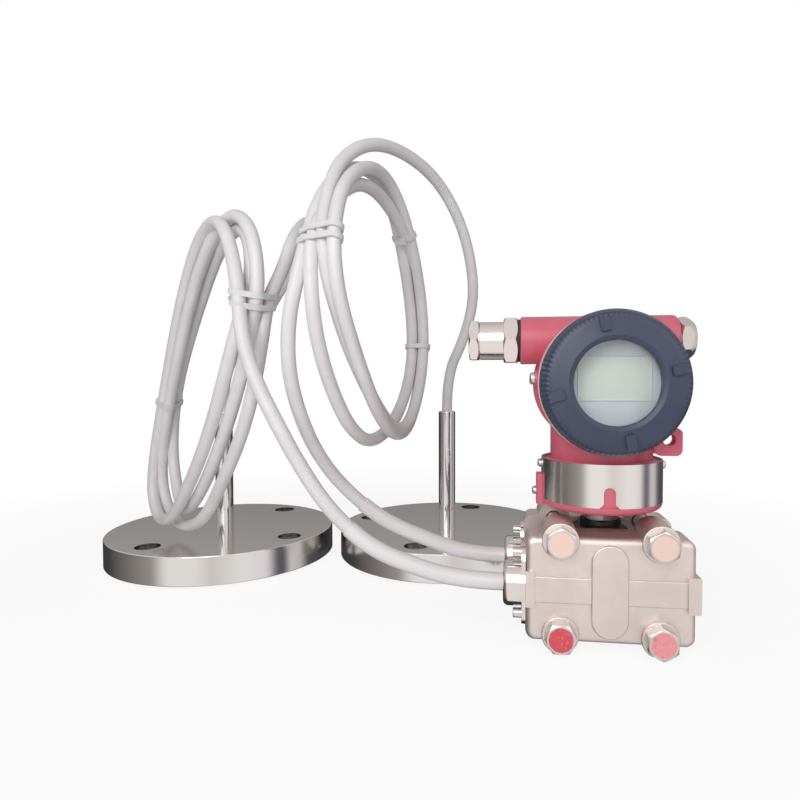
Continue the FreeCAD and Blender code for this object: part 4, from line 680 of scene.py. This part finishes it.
dress(jacket_finish("front_pvc_jacket", "#EAE6E8", front_length, 0.36), front_capillary)
dress(jacket_finish("rear_pvc_jacket", "#EAE6E8", rear_length, 0.36), rear_capillary)
sleeve_finish, tree, shader = finish("shrink_sleeve", "#ECE8E9", Roughness=0.3)
grain(tree, shader, 2.5, 0.06, 0.2)
dress(sleeve_finish, front_sleeve, rear_sleeve)
white_nylon, tree, shader = finish("natural_nylon", "#E4E3E2", Roughness=0.4, Subsurface_Weight=0.05)
grain(tree, shader, 1.0, 0.03, 0.2)
dress(white_nylon, left_white_ties, right_white_ties, right_upper_tie)
clear_nylon, tree, shader = finish("clear_nylon", "#F2F2F2", Roughness=0.3, Transmission_Weight=0.25,
                                   IOR=1.53)
grain(tree, shader, 1.0, 0.03, 0.2)
dress(clear_nylon, left_clear_tie, right_clear_tie)

# %% [markdown]
# ## Studio
#
# The part stands on a white floor in a white room. The camera sees the room at a strength of exactly 1,
# which is white, while the light that the room gives off is set apart, so pale metal doesn't burn out.
# Polished steel has no colour of its own: in a room that is white all round, a stem would look like
# flat grey paint. So mirror rays meet a studio of upright screens instead, bright in front and on the
# left, with dark gaps at the right and behind, and a grey ceiling above them.

# %% White room
def seen_directly(tree):
    """1 for camera, mirror and glass rays, and 0 for the light that falls on the part."""
    rays = add(tree, "ShaderNodeLightPath")
    first = add(tree, "ShaderNodeMath", {0: rays.outputs["Is Camera Ray"], 1: rays.outputs["Is Glossy Ray"]},
                operation="MAXIMUM")
    return add(tree, "ShaderNodeMath", {0: first.outputs["Value"], 1: rays.outputs["Is Transmission Ray"]},
               operation="MAXIMUM").outputs["Value"]


world = bpy.data.worlds.new("white_room")
bpy.context.scene.world = world
world.use_nodes = True
tree = world.node_tree
ROOM_LIGHT = 0.3
room = tree.nodes["Background"]
strength = add(tree, "ShaderNodeMapRange", {"Value": seen_directly(tree), "To Min": ROOM_LIGHT,
                                            "To Max": 1.0})
tree.links.new(strength.outputs["Result"], room.inputs["Strength"])

# %% What polished metal mirrors
way = add(tree, "ShaderNodeTexCoord")
parts = add(tree, "ShaderNodeSeparateXYZ", {"Vector": way.outputs["Generated"]})
to_front = add(tree, "ShaderNodeMath", {0: parts.outputs["Y"], 1: -1.0}, operation="MULTIPLY")
heading = add(tree, "ShaderNodeMath", {0: parts.outputs["X"], 1: to_front.outputs["Value"]},
              operation="ARCTAN2")
compass = add(tree, "ShaderNodeMapRange", {"Value": heading.outputs["Value"], "From Min": -math.pi,
                                           "From Max": math.pi})
SCREENS = [(0.0, "#3A3A3D"), (0.20, "#444446"), (0.29, "#7E7A78"), (0.38, "#A8A3A0"), (0.42, "#FFFFFF"),
           (0.50, "#FFFDFB"), (0.54, "#E9E5E2"), (0.62, "#FFFFFF"), (0.69, "#F9F5F8"), (0.72, "#5F5B66"),
           (0.745, "#5F5B66"), (0.765, "#E4E2E4"), (0.80, "#D0CECF"), (0.83, "#5A575F"), (1.0, "#3A3A3D")]
screens = add(tree, "ShaderNodeValToRGB", {"Fac": compass.outputs["Result"]})
while len(screens.color_ramp.elements) < len(SCREENS):
    screens.color_ramp.elements.new(0.5)
for mark, (place_on_ramp, tone) in zip(screens.color_ramp.elements, SCREENS):
    mark.position = place_on_ramp
    mark.color = linear(tone)
height = add(tree, "ShaderNodeMapRange", {"Value": parts.outputs["Z"], "From Min": 0.02, "From Max": 0.35})
behind = add(tree, "ShaderNodeMapRange", {"Value": parts.outputs["Y"], "From Min": -0.5, "From Max": 0.9})
ceiling = add(tree, "ShaderNodeMix", {"Factor": behind.outputs["Result"], "A": linear("#F4F2F1"),
                                      "B": linear("#B9B7B6")}, data_type="RGBA")
walls = add(tree, "ShaderNodeMix", {"Factor": height.outputs["Result"], "A": screens.outputs["Color"],
                                    "B": ceiling.outputs["Result"]}, data_type="RGBA")
rays = add(tree, "ShaderNodeLightPath")
tone = add(tree, "ShaderNodeMix", {"Factor": rays.outputs["Is Glossy Ray"], "A": (1, 1, 1, 1),
                                   "B": walls.outputs["Result"]}, data_type="RGBA")
tree.links.new(tone.outputs["Result"], room.inputs["Color"])

# %% White floor
floor_data = bpy.data.meshes.new("studio_floor")
floor_data.from_pydata([(-8, -8, 0), (8, -8, 0), (8, 8, 0), (-8, 8, 0)], [], [(0, 1, 2, 3)])
floor = bpy.data.objects.new("studio_floor", floor_data)
bpy.context.scene.collection.objects.link(floor)
floor.visible_glossy = False
paper, tree, shader = finish("white_floor_paper", "#FAFAFA", Roughness=0.9)
white = add(tree, "ShaderNodeEmission", {"Color": (1, 1, 1, 1), "Strength": 1.0})
FLOOR_SELF_WHITE = 0.88
place = add(tree, "ShaderNodeTexCoord")
away = add(tree, "ShaderNodeVectorMath", {0: place.outputs["Object"]}, operation="LENGTH")
own_white = add(tree, "ShaderNodeMapRange", {"Value": away.outputs["Value"], "From Min": 0.25,
                                             "From Max": 0.6,
                                             "To Min": FLOOR_SELF_WHITE, "To Max": 1.0})
share = add(tree, "ShaderNodeMath", {0: seen_directly(tree), 1: own_white.outputs["Result"]},
            operation="MULTIPLY")
mix = add(tree, "ShaderNodeMixShader", {0: share.outputs["Value"], 1: shader.outputs["BSDF"],
                                        2: white.outputs["Emission"]})
tree.links.new(mix.outputs["Shader"], tree.nodes["Material Output"].inputs["Surface"])
dress(paper, floor)

# %% [markdown]
# The floor mixes its paper with plain white seen directly. Near the part it keeps a little of the
# paper's own shading, which holds the soft shadow, and further out it turns wholly white, so it meets
# the room without a line. Two soft lamps add shape: a large one close by, high on the left in front,
# so that what stands further back falls off into shade, and a weaker one on the right.

# %% Lamps
def aim_at(thing, target):
    thing.rotation_euler = (target - thing.location).to_track_quat("-Z", "Y").to_euler()


def soft_lamp(name, place, size, power):
    """Square area lamp aimed at the middle of the part."""
    data = bpy.data.lights.new(name, "AREA")
    data.size = size
    data.energy = power
    lamp = bpy.data.objects.new(name, data)
    lamp.location = place
    aim_at(lamp, Vector((0, 0, 0.15)))
    bpy.context.scene.collection.objects.link(lamp)
    return lamp


soft_lamp("key_lamp", from_neck(-250, -560, 420), 0.45, 2.3)
soft_lamp("fill_lamp", from_neck(500, -500, 500), 0.6, 0.9)
bpy.context.scene.view_settings.view_transform = "Standard"
